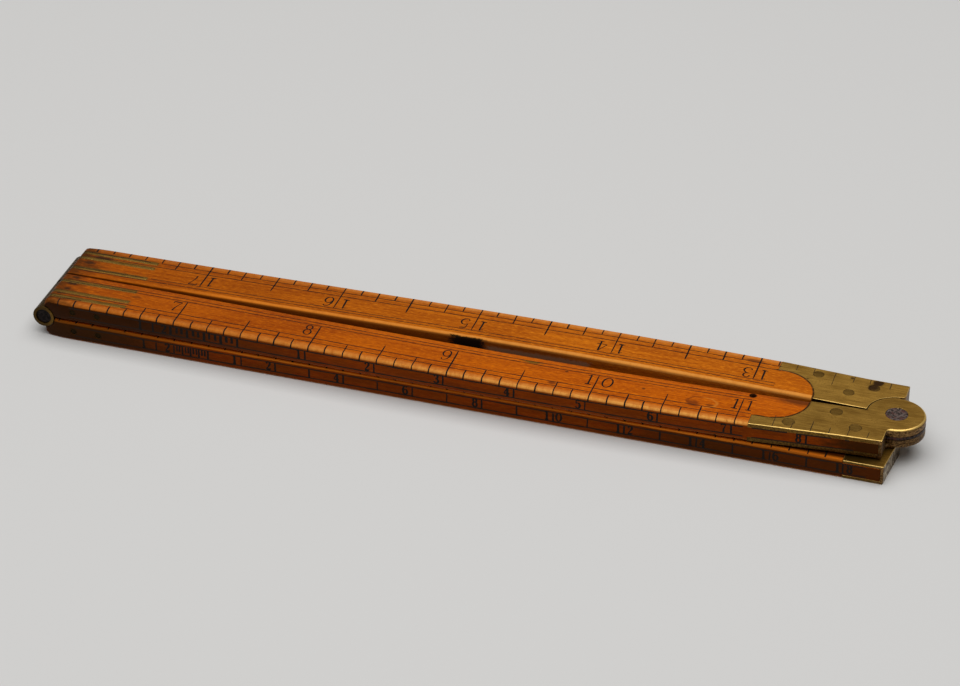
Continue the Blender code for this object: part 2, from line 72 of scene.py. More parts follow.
# Lengths below are in millimetres, and METRE turns them into metres.
METRE = 0.001
INCH = 25.4
RULE_END = 74.5  # x of the 12-inch plane
HINGE_X = -77.7
LEG_WIDTH = 9.5
THICKNESS = 3.5
INNER_LOW = 3.95
INNER_HIGH = 7.45
LEG_GAP = 0.4
BOW = 1.15  # how far the inner legs have bowed outwards
BOW_SKEW = 1.55
BOW_END = 68.2
HEAD_TAPER = {-1: 0.95, 1: 0.6}  # by side: -1 is near and 1 is far
PLATE_LENGTH = 22.6
PLATE_START = {-1: 51.4, 1: 52.6}
ARCH_X = 53.5  # middle of the arch where a plate meets the wood
ARCH_V = 0.9
ARCH_RADIUS = 6.5
SPLAY = 0.85  # how far the outer legs' tips stand out
NEAR_ROUND = 0.7  # radius of the near inner leg's worn edge
EDGE_ROUND = 0.3  # of the other graduated edges
BACK_ROUND = 0.35  # and of the backs' edges

rng = np.random.RandomState(24)


def add_object(name, data):
    item = bpy.data.objects.new(name, data)
    scene.collection.objects.link(item)
    return item


def leg_edges(side, inner, x):
    """A leg's inner and outer edge at x, as distances from the centre line."""
    if inner:
        along = min(1, max(0, (x - HINGE_X) / (BOW_END - HINGE_X)))
        shift = BOW * sin(pi * along**BOW_SKEW)
        narrowing = HEAD_TAPER[side] * max(0, (x - PLATE_START[side]) / PLATE_LENGTH)
    else:
        shift = SPLAY * max(0, (x - HINGE_X) / (6 * INCH))
        narrowing = 0
    low = LEG_GAP / 2 + shift
    return low, low + LEG_WIDTH - narrowing


# Surfaces that carry marks, found by rays from outside them
RAY_START = 1.5
RAY_REACH = 1.9


def body_tree(body):
    """The surface of everything on a body, in millimetres."""
    points = []
    faces = []
    for name in frame["record"]["behaviour"]["bodies"][body]:
        mesh = nodes[name].data
        start = len(points)
        points += [v.co / METRE for v in mesh.vertices]
        faces += [[start + i for i in p.vertices] for p in mesh.polygons]
    return BVHTree.FromPolygons(points, faces)


trees = {name: body_tree(name) for name in frame["bodies"]}


class Surface:
    """A surface of a leg."""

    def __init__(self, body):
        self.body = body
        self.side = -1 if body.startswith("near") else 1
        self.inner = body.endswith("inner")

    def find(self, guess, out, lift):
        """The point of the surface at a guessed one, lifted outwards."""
        hit = trees[self.body].ray_cast(guess + out * RAY_START, -out, RAY_REACH)[0]
        return None if hit is None else hit + out * lift


class Face(Surface):
    """A leg's graduated face or its back. Places on it are x and the distance in from the outer edge."""

    def __init__(self, body, back=False):
        super().__init__(body)
        self.up = 1 if self.inner != back else -1
        low = INNER_LOW if self.inner else 0
        self.level = low + THICKNESS if self.up > 0 else low
        self.round = BACK_ROUND if back else NEAR_ROUND if body == "near_inner" else EDGE_ROUND
        self.reads = -self.side * self.up
        self.out = Vector((0, 0, self.up))

    def inset(self, x, v):
        """The inset of a place that is v from the leg's inner edge."""
        low, high = leg_edges(self.side, self.inner, x)
        return high - low - v

    def point(self, x, s, lift):
        radius = self.round
        outer = leg_edges(self.side, self.inner, x)[1]
        turn = min(max((radius - s) / radius, 0), pi / 2)
        past = max(radius - s - radius * pi / 2, 0)
        v = outer - max(s, radius)
        z = self.level - self.up * (radius + past)
        out = Vector((0, self.side * sin(turn), self.up * cos(turn)))
        return self.find(Vector((x, self.side * v, z)) + out * radius, out, lift)


class Side(Surface):
    """A leg's long outer side. Places on it are x and the height."""

    def __init__(self, body):
        super().__init__(body)
        self.reads = -self.side
        self.out = Vector((0, self.side, 0))

    def point(self, x, z, lift):
        outer = leg_edges(self.side, self.inner, x)[1]
        return self.find(Vector((x, self.side * outer, z)), self.out, lift)


# Marks

MARK_DEPTH = 0.05
WELD_GAP = 0.0005
LONGEST_STEP = 2.5  # a strip stops where its surface does
HIGHEST_STEP = 0.8
EDGE_ON = 0.05


class Marks:
    """Cut or stamped marks on one body, as thin strips that are let into its surface."""

    def __init__(self):
        self.points = []
        self.faces = []

    def strip(self, face, path, lift):
        """A strip along a path of places with widths."""
        rows = []
        for i, (a, b, width) in enumerate(path):
            before = path[max(i - 1, 0)]
            after = path[min(i + 1, len(path) - 1)]
            da, db = after[0] - before[0], after[1] - before[1]
            size = hypot(da, db) or 1
            na, nb = -db / size * width / 2, da / size * width / 2
            left = face.point(a + na, b + nb, lift)
            right = face.point(a - na, b - nb, lift)
            rows.append(None if left is None or right is None else (left, right))
        for one, two in zip(rows, rows[1:]):
            if one is None or two is None:
                continue
            step = two[0] - one[0]
            if step.length > LONGEST_STEP or abs(step.z) > HIGHEST_STEP:
                continue
            start = len(self.points)
            self.points += [one[0], one[1], two[1], two[0]]
            corner = (one[1] - one[0]).cross(two[1] - one[0]).normalized()
            order = [3, 2, 1, 0] if corner.dot(face.out) <= -EDGE_ON else [0, 1, 2, 3]
            self.faces.append([start + k for k in order])

    def build(self, name, body, material, slot):
        mesh = bpy.data.meshes.new(name)
        mesh.from_pydata([p * METRE for p in self.points], [], self.faces)
        mesh.materials.append(material)
        piece = add_object(name, mesh)
        weld = piece.modifiers.new("weld", "WELD")
        weld.merge_threshold = WELD_GAP * METRE
        solid = piece.modifiers.new("solid", "SOLIDIFY")
        solid.thickness = MARK_DEPTH * METRE
        solid.offset = -1
        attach(piece, body)


TICK_WIDTH = 0.25
LINE_WIDTH = 0.17
TICK_LIFT = 0.014
LINE_LIFT = 0.009
DIGIT_LIFT = 0.015
LAYER_LIFT = 0.002  # between the strokes of a digit
TICK_STEP = 0.1
LINE_STEP = 0.75
ALONG_SCATTER = 0.05  # how far hand-cut ticks stray
START_SCATTER = 0.07
LEAN_SCATTER = 0.03


def tick(marks, face, x, start, end, width=TICK_WIDTH):
    """A knife cut across a leg, from one inset or height to another."""
    x += rng.normal(0, ALONG_SCATTER)
    start += rng.normal(0, START_SCATTER)
    steps = max(4, ceil(abs(end - start) / TICK_STEP))
    lean = rng.normal(0, LEAN_SCATTER)
    width *= rng.uniform(0.8, 1.2)
    path = []
    for i in range(steps + 1):
        t = i / steps
        taper = min(1, 0.45 + 4 * t)
        wobble = 0.012 * sin(9 * t + x)
        path.append((x + lean * (t - 0.5) + wobble, start + (end - start) * t, width * taper))
    marks.strip(face, path, TICK_LIFT)


def scribe(marks, face, x_start, x_end, place, width=LINE_WIDTH):
    """A scribed line along a leg. place gives the inset or height at x."""
    steps = ceil((x_end - x_start) / LINE_STEP)
    phase = rng.uniform(0, 6)
    path = []
    for i in range(steps + 1):
        x = x_start + (x_end - x_start) * i / steps
        sway = 0.025 * sin(x * 0.11 + phase) + 0.012 * sin(x * 0.53 + 2 * phase)
        swell = 1 + 0.3 * sin(x * 0.37 + phase) * sin(x * 1.3)
        path.append((x, place(x) + sway, width * swell))
    marks.strip(face, path, LINE_LIFT)


# Digits as strokes of (x, y, width). x and y are in hundredths of a digit's height, and widths in shares
# of the thickest stroke.
STROKE = 0.1  # of the height
RING_STEPS = 20


def ring(x, y, rx, ry):
    """An oval stroke that is thick at its sides and thin at top and bottom."""
    points = []
    for i in range(RING_STEPS + 1):
        a = 2 * pi * i / RING_STEPS
        points.append((x + rx * cos(a), y + ry * sin(a), 0.5 + 0.5 * abs(cos(a))))
    return points


DIGITS = {
    "0": [ring(32, 50, 28, 47)],
    "1": [
        [(30, 0, 1), (30, 50, 1), (30, 98, 0.8)],
        [(30, 97, 0.5), (22, 89, 0.5), (12, 85, 0.5)],
        [(12, 1, 0.5), (30, 2, 1), (48, 1, 0.5)],
    ],
    "2": [
        [
            (10, 74, 1), (15, 88, 0.7), (29, 98, 0.5), (45, 90, 0.9),
            (49, 74, 1), (41, 54, 0.8), (24, 31, 0.5), (8, 5, 0.5),
        ],
        [(7, 5, 0.8), (30, 5, 1), (50, 5, 0.8)],
        [(50, 4, 0.5), (54, 20, 0.5)],
    ],
    "3": [
        [
            (8, 80, 1), (16, 93, 0.5), (29, 98, 0.5), (44, 88, 0.9),
            (44, 70, 0.9), (34, 57, 0.5), (20, 54, 0.5),
        ],
        [
            (24, 55, 0.5), (42, 47, 0.8), (51, 29, 1), (43, 8, 0.8),
            (26, 1, 0.5), (12, 6, 0.5), (7, 20, 1),
        ],
    ],
    "4": [
        [(39, 98, 0.5), (20, 62, 0.5), (2, 29, 0.5)],
        [(2, 28, 0.5), (30, 28, 0.5), (60, 28, 0.5)],
        [(40, 98, 1), (40, 50, 1), (40, 2, 1)],
        [(26, 1, 0.5), (54, 1, 0.5)],
    ],
    "5": [
        [(13, 93, 0.8), (30, 95, 1), (47, 100, 0.5)],
        [(13, 95, 0.5), (11, 75, 0.5), (10, 53, 0.5)],
        [
            (10, 53, 0.5), (25, 62, 0.5), (42, 57, 0.8), (51, 34, 1),
            (43, 10, 0.8), (25, 1, 0.5), (12, 6, 0.5), (7, 18, 1),
        ],
    ],
    "6": [
        [(47, 84, 1), (40, 95, 0.5), (29, 98, 0.5), (14, 85, 0.7), (6, 60, 1), (6, 33, 1)],
        ring(29, 31, 23, 30),
    ],
    "7": [
        [(5, 78, 0.5), (7, 93, 0.7), (30, 94, 1), (54, 95, 0.7)],
        [(54, 95, 0.5), (40, 62, 0.5), (29, 30, 0.8), (26, 0, 1)],
    ],
    "8": [ring(29, 76, 18, 22), ring(29, 27, 22, 27)],
    "9": [
        ring(29, 67, 23, 31),
        [(52, 66, 1), (51, 38, 1), (42, 13, 0.7), (28, 1, 0.5), (15, 4, 0.5), (10, 15, 1)],
    ],
}
CURVE_STEPS = 5
DIGIT_MIDDLE = 30


def smooth(stroke):
    """A stroke drawn as a smooth curve through its points. Lines and rings stay as they are."""
    if len(stroke) < 3 or len(stroke) > RING_STEPS:
        return stroke
    p = np.array([2 * np.array(stroke[0]) - stroke[1], *stroke, 2 * np.array(stroke[-1]) - stroke[-2]])
    curve = []
    for i in range(1, len(p) - 2):
        for t in np.arange(CURVE_STEPS) / CURVE_STEPS:
            a = 2 * p[i]
            b = p[i + 1] - p[i - 1]
            c = 2 * p[i - 1] - 5 * p[i] + 4 * p[i + 1] - p[i + 2]
            d = 3 * p[i] - p[i - 1] - 3 * p[i + 1] + p[i + 2]
            curve.append((a + b * t + c * t**2 + d * t**3) / 2)
    curve.append(p[-2])
    return [tuple(q) for q in curve]


def digit(marks, face, character, x, base, height, squeeze=1.0, weight=1.0):
    """A stamped digit whose middle is at x and whose foot is at base."""
    unit = height / 100
    tilt = rng.normal(0, 0.02)
    weight *= STROKE * rng.uniform(0.9, 1.1)
    for layer, stroke in enumerate(DIGITS[character]):
        path = []
        for gx, gy, width in smooth(stroke):
            across = (gx - DIGIT_MIDDLE) * squeeze + tilt * (gy - 50)
            path.append((x + face.reads * across * unit, base + gy * unit, width * weight * height))
        marks.strip(face, path, DIGIT_LIFT + LAYER_LIFT * layer)


# Shaders


class Shader:
    """A procedural material, with places in millimetres in the rule's own frame."""

    def __init__(self, name):
        self.material = bpy.data.materials.new(name)
        self.material.use_nodes = True
        self.tree = self.material.node_tree
        self.tree.nodes.clear()
        self.bsdf = self.node("ShaderNodeBsdfPrincipled")
        output = self.node("ShaderNodeOutputMaterial")
        self.tree.links.new(self.bsdf.outputs[0], output.inputs["Surface"])
        coords = self.node("ShaderNodeTexCoord")
        self.place = self.vector("SCALE", coords.outputs["Object"], scale=1 / METRE)
        self.facing = coords.outputs["Normal"]

    def node(self, kind, inputs=None, **settings):
        node = self.tree.nodes.new(kind)
        for key, value in settings.items():
            setattr(node, key, value)
        for key, value in (inputs or {}).items():
            self.feed(node.inputs[key], value)
        return node

    def feed(self, socket, value):
        if isinstance(value, bpy.types.NodeSocket):
            self.tree.links.new(value, socket)
        else:
            socket.default_value = value

    def set(self, name, value):
        self.feed(self.bsdf.inputs[name], value)

    def vector(self, operation, a, b=(0, 0, 0), scale=1.0):
        node = self.node("ShaderNodeVectorMath", {0: a, 1: b, 3: scale}, operation=operation)
        return node.outputs["Value" if operation == "LENGTH" else "Vector"]

    def math(self, operation, a, b=0.0, clamp=False):
        return self.node("ShaderNodeMath", {0: a, 1: b}, operation=operation, use_clamp=clamp).outputs[0]

    def add(self, first, *others):
        for other in others:
            first = self.math("ADD", first, other)
        return first

    def mul(self, first, *others):
        for other in others:
            first = self.math("MULTIPLY", first, other)
        return first

    def sub(self, a, b):
        return self.math("SUBTRACT", a, b)

    def abs(self, a):
        return self.math("ABSOLUTE", a)

    def spread(self, noise, width):
        """A noise value as a shift to either side, over a width."""
        return self.mul(self.sub(noise, 0.5), width)

    def ramp(self, value, start, end, low=0.0, high=1.0):
        inputs = {"Value": value, "From Min": start, "From Max": end, "To Min": low, "To Max": high}
        return self.node("ShaderNodeMapRange", inputs, interpolation_type="SMOOTHSTEP").outputs[0]

    def axes(self, place=None):
        return self.node("ShaderNodeSeparateXYZ", {0: place or self.place}).outputs

    def noise(self, stretch, detail, roughness, shift):
        moved = self.vector("ADD", self.place, (shift, 0.7 * shift, 0.3 * shift))
        place = self.vector("MULTIPLY", moved, stretch)
        inputs = {"Vector": place, "Scale": 1.0, "Detail": detail, "Roughness": roughness}
        return self.node("ShaderNodeTexNoise", inputs).outputs[0]

    def mix(self, share, a, b, blend="MIX"):
        a, b = (k if isinstance(k, bpy.types.NodeSocket) else (*k, 1.0) for k in (a, b))
        inputs = {0: share, 6: a, 7: b}
        return self.node("ShaderNodeMix", inputs, data_type="RGBA", blend_type=blend).outputs[2]

    def paint(self, colour, *shares, blend="MIX"):
        """Lays a colour over the ones that are there, where all shares are high."""
        self.colour = self.mix(self.mul(*shares), self.colour, colour, blend)

    def away(self, place, stretch):
        """The way from a place, stretched along each axis, and its length."""
        way = self.vector("MULTIPLY", self.vector("SUBTRACT", self.place, place), stretch)
        return way, self.vector("LENGTH", way)

    def spot(self, x, y, rx, ry, soft, ragged):
        """A ragged oval patch round a place seen from above."""
        _, distance = self.away((x, y, 0), (1 / rx, 1 / ry, 0))
        wild = self.noise((1.6, 1.6, 1.6), 4, 0.6, shift=x)
        distance = self.add(distance, self.spread(wild, 4 * ragged))
        return self.ramp(distance, 1 + soft, 1 - soft)

    def bump(self, height, strength, depth):
        inputs = {"Strength": strength, "Distance": depth * METRE, "Height": height}
        self.set("Normal", self.node("ShaderNodeBump", inputs).outputs[0])


CROSS_PINS = (HINGE_X + 5.8, HINGE_X + 10.5)
LEAF_END = HINGE_X + 15.2
# In the tables below, True is for the inner legs and False for the outer ones.
LEAF_PLACES = {True: (2.4, 5.94, 7.7), False: (4.17, 6.82)}  # from the centre line
HINGE_GRIME = {True: (-22.0, -64.0), False: (-40.0, -68.0)}  # where the sides darken towards the hinge
JOINT_GRIME = {True: (60.0, 70.0), False: (22.0, 46.0)}  # and towards the joint
JOINT_GRIME_STRENGTH = {True: 0.9, False: 0.74}
WOOD_DARK, WOOD_LIGHT = (0.27, 0.044, 0.0004), (0.52, 0.118, 0.0014)
MOTTLE_DARK, MOTTLE_LIGHT = (0.21, 0.03, 0.0003), (0.66, 0.17, 0.003)
PORE = (0.11, 0.017, 0.0005)
# Worn pale colour of the graduated edges, brightened with painted sheen
RUBBED_BAND_AND_SHEEN = (0.62, 0.215, 0.036)
# Painted highlight on the lower part of the near inner leg's worn edge
BROW_HIGHLIGHT = (0.84, 0.375, 0.078)
# Pale lip of the far inner leg at the gap: wear, and a painted highlight
LIP_WEAR_AND_HIGHLIGHT = ((0.60, 0.15, 0.004), (0.74, 0.29, 0.05))  # at the hinge end and towards the joint
# Arrises where the legs meet: worn pale, with a painted highlight
ARRIS_WEAR_AND_HIGHLIGHT = (0.64, 0.17, 0.012)
# Painted shade for the legs' sides, mixed with the smear colours of handling dirt
SHADED_SIDE = {
    True: ((0.075, 0.007, 0.0001), (0.18, 0.018, 0.0002)),
    False: ((0.0675, 0.00525, 0.0001), (0.162, 0.0135, 0.0002)),
}
# Painted shade for the wall of the gap between the inner legs
GAP_WALL_SHADE = (0.085, 0.014, 0.001)
PIN_VERDIGRIS = (0.028, 0.021, 0.007)
LEAF_VERDIGRIS = (0.13, 0.072, 0.012)
HINGE_DIRT = (0.035, 0.011, 0.003)
HINGE_SIDE_DIRT = {True: (0.017, 0.0028, 0.0004), False: (0.024, 0.0062, 0.001)}
JOINT_SIDE_DIRT = (0.022, 0.0055, 0.0009)
# Painted shadow for the outer legs' top face under the upper legs
LEDGE_SHADOW = (0.02, 0.004, 0.0006)
SPECK = (0.05, 0.016, 0.005)


def leg_insets(s, x, y, side, inner):
    """Distances in from a leg's inner and its outer edge."""
    if inner:
        along = s.math("DIVIDE", s.sub(x, HINGE_X), BOW_END - HINGE_X, clamp=True)
        swing = s.math("SINE", s.mul(s.math("POWER", along, BOW_SKEW), pi))
        low = s.add(s.mul(swing, BOW), LEG_GAP / 2)
    else:
        along = s.math("DIVIDE", s.sub(x, HINGE_X), 6 * INCH, clamp=True)
        low = s.add(s.mul(along, SPLAY), LEG_GAP / 2)
    inward = s.sub(s.abs(y), low)
    inset = s.sub(LEG_WIDTH, inward)
    if inner:
        head = s.math("DIVIDE", s.sub(x, PLATE_START[side]), PLATE_LENGTH, clamp=True)
        inset = s.sub(inset, s.mul(head, HEAD_TAPER[side]))
    return inward, inset


def boxwood(name, side, inner, stains=(), walls=(), slope=((0.9, 0.88, 1.0), (1.15, 1.1, 1.0))):
    """Varnished boxwood, worn pale along its edges, where painted sheen and highlights brighten it, and
    dark on its sides with painted shade and handling dirt.

    slope multiplies the wood's colour, at the hinge end and at the other end. walls are stretches of dirt
    on the wall of the gap: start, end, the height that the dirt lies under, colour and strength.
    """
    s = Shader(name)
    shift = 40.0 * side + (0 if inner else 17.0)
    x, y, z = s.axes()
    _, ny, nz = s.axes(s.facing)
    inward, inset = leg_insets(s, x, y, side, inner)
    streak = s.noise((0.045, 1.6, 1.6), 4, 0.55, shift)
    fibre = s.noise((0.25, 7.0, 7.0), 3, 0.6, shift)
    cloud = s.noise((0.06, 0.16, 0.16), 3, 0.55, shift)
    pores = s.noise((0.8, 13.0, 13.0), 2, 0.5, shift)
    mottle = s.noise((0.9, 4.5, 4.5), 3, 0.6, shift + 13)
    rub = s.noise((0.22, 0.5, 0.5), 4, 0.6, shift + 9)
    scuff = s.noise((1.6, 0.7, 0.7), 5, 0.7, shift + 33)
    tone = s.add(s.mul(streak, 0.45), s.mul(fibre, 0.25), s.mul(cloud, 0.28))
    s.colour = s.mix(s.ramp(tone, 0.315, 0.675), WOOD_DARK, WOOD_LIGHT)
    s.paint(MOTTLE_DARK, s.ramp(mottle, 0.53, 0.68, 0, 0.65))
    s.paint(MOTTLE_LIGHT, s.ramp(mottle, 0.47, 0.32, 0, 0.65))
    s.paint(PORE, s.ramp(pores, 0.6, 0.74, 0, 0.55))
    toward_joint = s.ramp(x, HINGE_X, HINGE_X + 115)
    s.paint(s.mix(toward_joint, *slope), 1.0, blend="MULTIPLY")

    # Worn pale bands along the rounded edges, with painted sheen on the bands and painted highlights on the
    # near brow and the far lip
    outward = s.ramp(nz, -0.1, 0.1) if inner else s.ramp(nz, 0.1, -0.1)
    flat = s.mul(s.ramp(s.abs(nz), 0.05, 0.3), outward)
    rubbed = s.mul(s.ramp(s.add(inset, s.mul(rub, 0.9)), 2.0, 0.9), flat)
    rubbed = s.mul(rubbed, s.ramp(scuff, 0.3, 0.66, 0.5, 1.0), s.ramp(toward_joint, 0.0, 0.8, 0.45, 1.0))
    # Worn band, with painted sheen that grows towards the joint
    s.paint(RUBBED_BAND_AND_SHEEN, rubbed)
    if inner and side < 0:
        # Painted highlight low on the near inner leg's rounded edge, mottled by scuffs
        brow = s.mul(s.ramp(ny, -0.3, -0.6), s.ramp(ny, -0.98, -0.85))
        brow = s.mul(brow, s.ramp(x, HINGE_X + 20, HINGE_X + 120, 0, 0.85))
        s.paint(BROW_HIGHLIGHT, brow, s.ramp(scuff, 0.3, 0.6, 0.3, 1.0))
    if inner and side > 0:
        # The far inner leg's lip at the gap: pale with wear, and brighter with a painted highlight
        lip = s.mul(s.ramp(s.add(inward, s.mul(rub, 0.5)), 1.2, 0.75), flat)
        lip = s.mul(lip, s.ramp(x, HINGE_X + 12, HINGE_X + 34, 0.1, 0.95))
        pale = s.mix(toward_joint, *LIP_WEAR_AND_HIGHLIGHT)
        s.paint(pale, lip, s.ramp(scuff, 0.3, 0.6, 0.75, 1.0))

    # Sides darkened: painted shade for the upright faces, which the overhead light reaches less, with
    # smears of handling dirt
    sheer = s.abs(ny)
    flank = s.mix(outward, s.ramp(sheer, 0.3, 0.7), s.ramp(sheer, 0.88, 0.99))
    flank = s.mul(flank, s.ramp(inset, 2.0, 1.0))
    smear = s.ramp(s.noise((0.08, 0.4, 0.4), 4, 0.6, shift + 21), 0.35, 0.7)
    s.paint(s.mix(0.2, s.mix(smear, *SHADED_SIDE[inner]), s.colour), flank)
    # Painted shade on the wall of the gap, lighter towards the joint
    wall = s.mul(s.ramp(sheer, 0.6, 0.95), s.ramp(inset, LEG_WIDTH - 1.0, LEG_WIDTH - 0.5))
    s.paint(GAP_WALL_SHADE, wall, s.ramp(x, 8.0, 34.0, 0.7, 0.35))

    # Verdigris round the cross pins and beside the hinge leaves
    pin_level = (INNER_LOW if inner else 0) + THICKNESS / 2
    for pin_x in CROSS_PINS:
        _, distance = s.away((pin_x, 0, pin_level), (1, 0, 1))
        s.paint(PIN_VERDIGRIS, s.ramp(distance, 0.95, 0.6, 0, 0.85))
    for place in LEAF_PLACES[inner]:
        beside = s.abs(s.sub(s.abs(y), place))
        halo = s.mul(s.ramp(beside, 0.75, 0.4, 0, 0.75), s.ramp(x, LEAF_END + 0.6, LEAF_END - 0.2))
        s.paint(LEAF_VERDIGRIS, halo, s.ramp(mottle, 0.3, 0.5, 0.5, 1))

    # Grime at both ends, most of all on the sides, and painted shadow on the outer legs under the upper
    # ones
    dirt = s.noise((0.5, 0.9, 0.9), 5, 0.65, shift + 3)
    reach = s.add(x, s.spread(dirt, 14.0))
    grime = s.ramp(reach, HINGE_X + 9.0, HINGE_X - 1.0, 0, 0.85)
    s.paint(HINGE_DIRT, grime)
    s.paint(HINGE_SIDE_DIRT[inner], flank, s.ramp(reach, *HINGE_GRIME[inner], 0, 0.94))
    s.paint(JOINT_SIDE_DIRT, flank, s.ramp(reach, *JOINT_GRIME[inner], 0, JOINT_GRIME_STRENGTH[inner]))
    if not inner:
        # Painted shadow on the outer leg's top face near the joint, where the upper leg overhangs it
        ledge_shadow = s.mul(s.ramp(nz, 0.7, 0.95), s.ramp(x, 36.0, 48.0))
        ledge_shadow = s.mul(ledge_shadow, s.ramp(inset, 0.2, 0.75), s.ramp(inset, 3.4, 2.4))
        s.paint(LEDGE_SHADOW, ledge_shadow, 0.9)

    # Arrises where two legs meet: pale with wear, and lit with a painted highlight where the leg above
    # shades them
    off = s.abs(s.sub(z, INNER_LOW if inner else THICKNESS))
    arris = s.mul(s.ramp(s.add(off, s.mul(rub, 0.3)), 0.62, 0.38), s.ramp(inset, 1.1, 0.5))
    arris = s.mul(arris, s.ramp(x, HINGE_X + 10, HINGE_X + 50, 0.25, 0.95))
    arris = s.mul(arris, 0.08 if inner else s.ramp(x, 40.0, 56.0, 1.0, 0.5))
    s.paint(ARRIS_WEAR_AND_HIGHLIGHT, arris)
    s.paint(SPECK, s.ramp(s.noise((1.1, 1.6, 1.6), 2, 0.5, shift + 31), 0.735, 0.8, 0, 0.6))

    # Dirt on the wall of the gap between the legs
    grit = s.noise((1.3, 2.2, 2.2), 5, 0.7, shift + 27)
    for start, end, top, dirt_colour, strength in walls:
        middle, half = (start + end) / 2, (end - start) / 2
        off = s.add(s.abs(s.sub(x, middle)), s.spread(grit, 5.0))
        deep = s.add(inward, s.spread(grit, 0.6))
        here = s.mul(s.ramp(off, half + 0.8, half - 0.8), s.ramp(deep, 0.35, 0.12))
        s.paint(dirt_colour, here, s.ramp(s.add(z, grit), top + 0.8, top + 0.2, 0, strength))

    for stain in stains:
        stain(s)
    s.set("Base Color", s.colour)
    s.set("Roughness", s.add(s.mul(rub, 0.22), s.mul(grime, 0.2), 0.3))
    s.set("Specular IOR Level", 0.14)
    s.set("Specular Tint", (1.0, 0.5, 0.06, 1.0))
    relief = s.add(s.mul(fibre, 0.5), s.mul(rub, 0.8))
    relief = s.sub(relief, s.mul(s.ramp(pores, 0.64, 0.78), 0.4))
    s.bump(relief, 0.35, 0.05)
    return s.material


def stain(x, y, rx, ry, colour, strength, soft=0.5, ragged=0.25):
    """A ragged patch that doesn't reach a piece's underside."""

    def apply(s):
        reach = s.ramp(s.axes(s.facing)[2], -0.5, -0.2, 0, strength)
        s.paint(colour, s.spot(x, y, rx, ry, soft, ragged), reach)

    return apply


SEAM = (0.045, 0.018, 0.005)
RIVET_SEAM = (0.06, 0.03, 0.008)
# Painted shade and painted highlight on the rim of a dried drop
DRIP_SHADE, DRIP_HIGHLIGHT = (0.15, 0.025, 0.003), (0.66, 0.24, 0.03)


def outline(middle, radius):
    """The dirt-filled seam round a flush rivet."""

    def apply(s):
        _, distance = s.away((middle.x, middle.y, 0), (1, 1, 0))
        off = s.abs(s.sub(distance, radius))
        wild = s.noise((1.5, 1.5, 1.5), 3, 0.6, shift=middle.x)
        seam = s.mul(s.ramp(off, 0.17, 0.05), s.ramp(wild, 0.3, 0.6, 0.2, 0.8))
        s.paint(RIVET_SEAM, seam)

    return apply


def arch_seam(s):
    """The dirt-filled seam between an arch plate and the wood."""
    x, y, _ = s.axes()
    along = s.math("MAXIMUM", s.sub(x, ARCH_X), 0.0)
    across = s.math("MAXIMUM", s.sub(s.abs(y), ARCH_V), 0.0)
    squares = s.add(s.mul(along, along), s.mul(across, across))
    off = s.abs(s.sub(s.math("SQRT", squares), ARCH_RADIUS))
    wild = s.noise((1.2, 1.2, 1.2), 3, 0.6, 5)
    seam = s.mul(s.ramp(off, 0.24, 0.08), s.ramp(wild, 0.3, 0.55, 0.45, 0.95))
    seam = s.mul(seam, s.ramp(x, ARCH_X - 2.2, ARCH_X - 1.2))
    s.paint(SEAM, seam)


def drip(x, y, rx, ry):
    """A dried drop on the varnish: a thin rim, with painted shade on one side and a painted highlight on
    the other.
    """

    def apply(s):
        way, distance = s.away((x, y, 0), (1 / rx, 1 / ry, 0))
        wild = s.noise((0.9, 0.9, 0.9), 3, 0.5, shift=x)
        distance = s.add(distance, s.spread(wild, 0.3))
        rim = s.ramp(s.abs(s.sub(distance, 1.0)), 0.16, 0.04)
        across = s.axes(way)[0]
        s.paint(DRIP_SHADE, rim, s.ramp(across, 0.2, -0.4, 0, 0.6))
        s.paint(DRIP_HIGHLIGHT, rim, s.ramp(across, -0.3, 0.3, 0, 0.4))

    return apply


BRUSHING = (0.16, 9.0, 9.0)
BRASS_DARK, BRASS_LIGHT = (0.25, 0.125, 0.016), (0.53, 0.30, 0.055)
TARNISH = (0.10, 0.05, 0.013)
JOINT_END = (72.0, 74.0)  # past it, the sides have a brown patina instead of a golden one, both mixed with painted shade
BROWN_PATINA_AND_SHADE = ((0.03, 0.013, 0.007), (0.27, 0.15, 0.058))
GOLDEN_PATINA_AND_SHADE = ((0.05, 0.024, 0.005), (0.2, 0.105, 0.02))
# Rubbed brass edges, with a painted highlight
RUBBED_EDGE_AND_HIGHLIGHT = (0.85, 0.56, 0.16)
IRON_DARK, IRON_LIGHT = (0.04, 0.026, 0.022), (0.21, 0.16, 0.14)
RUST = (0.075, 0.018, 0.012)


def scaled(colour, factor):
    return [factor * k for k in colour]


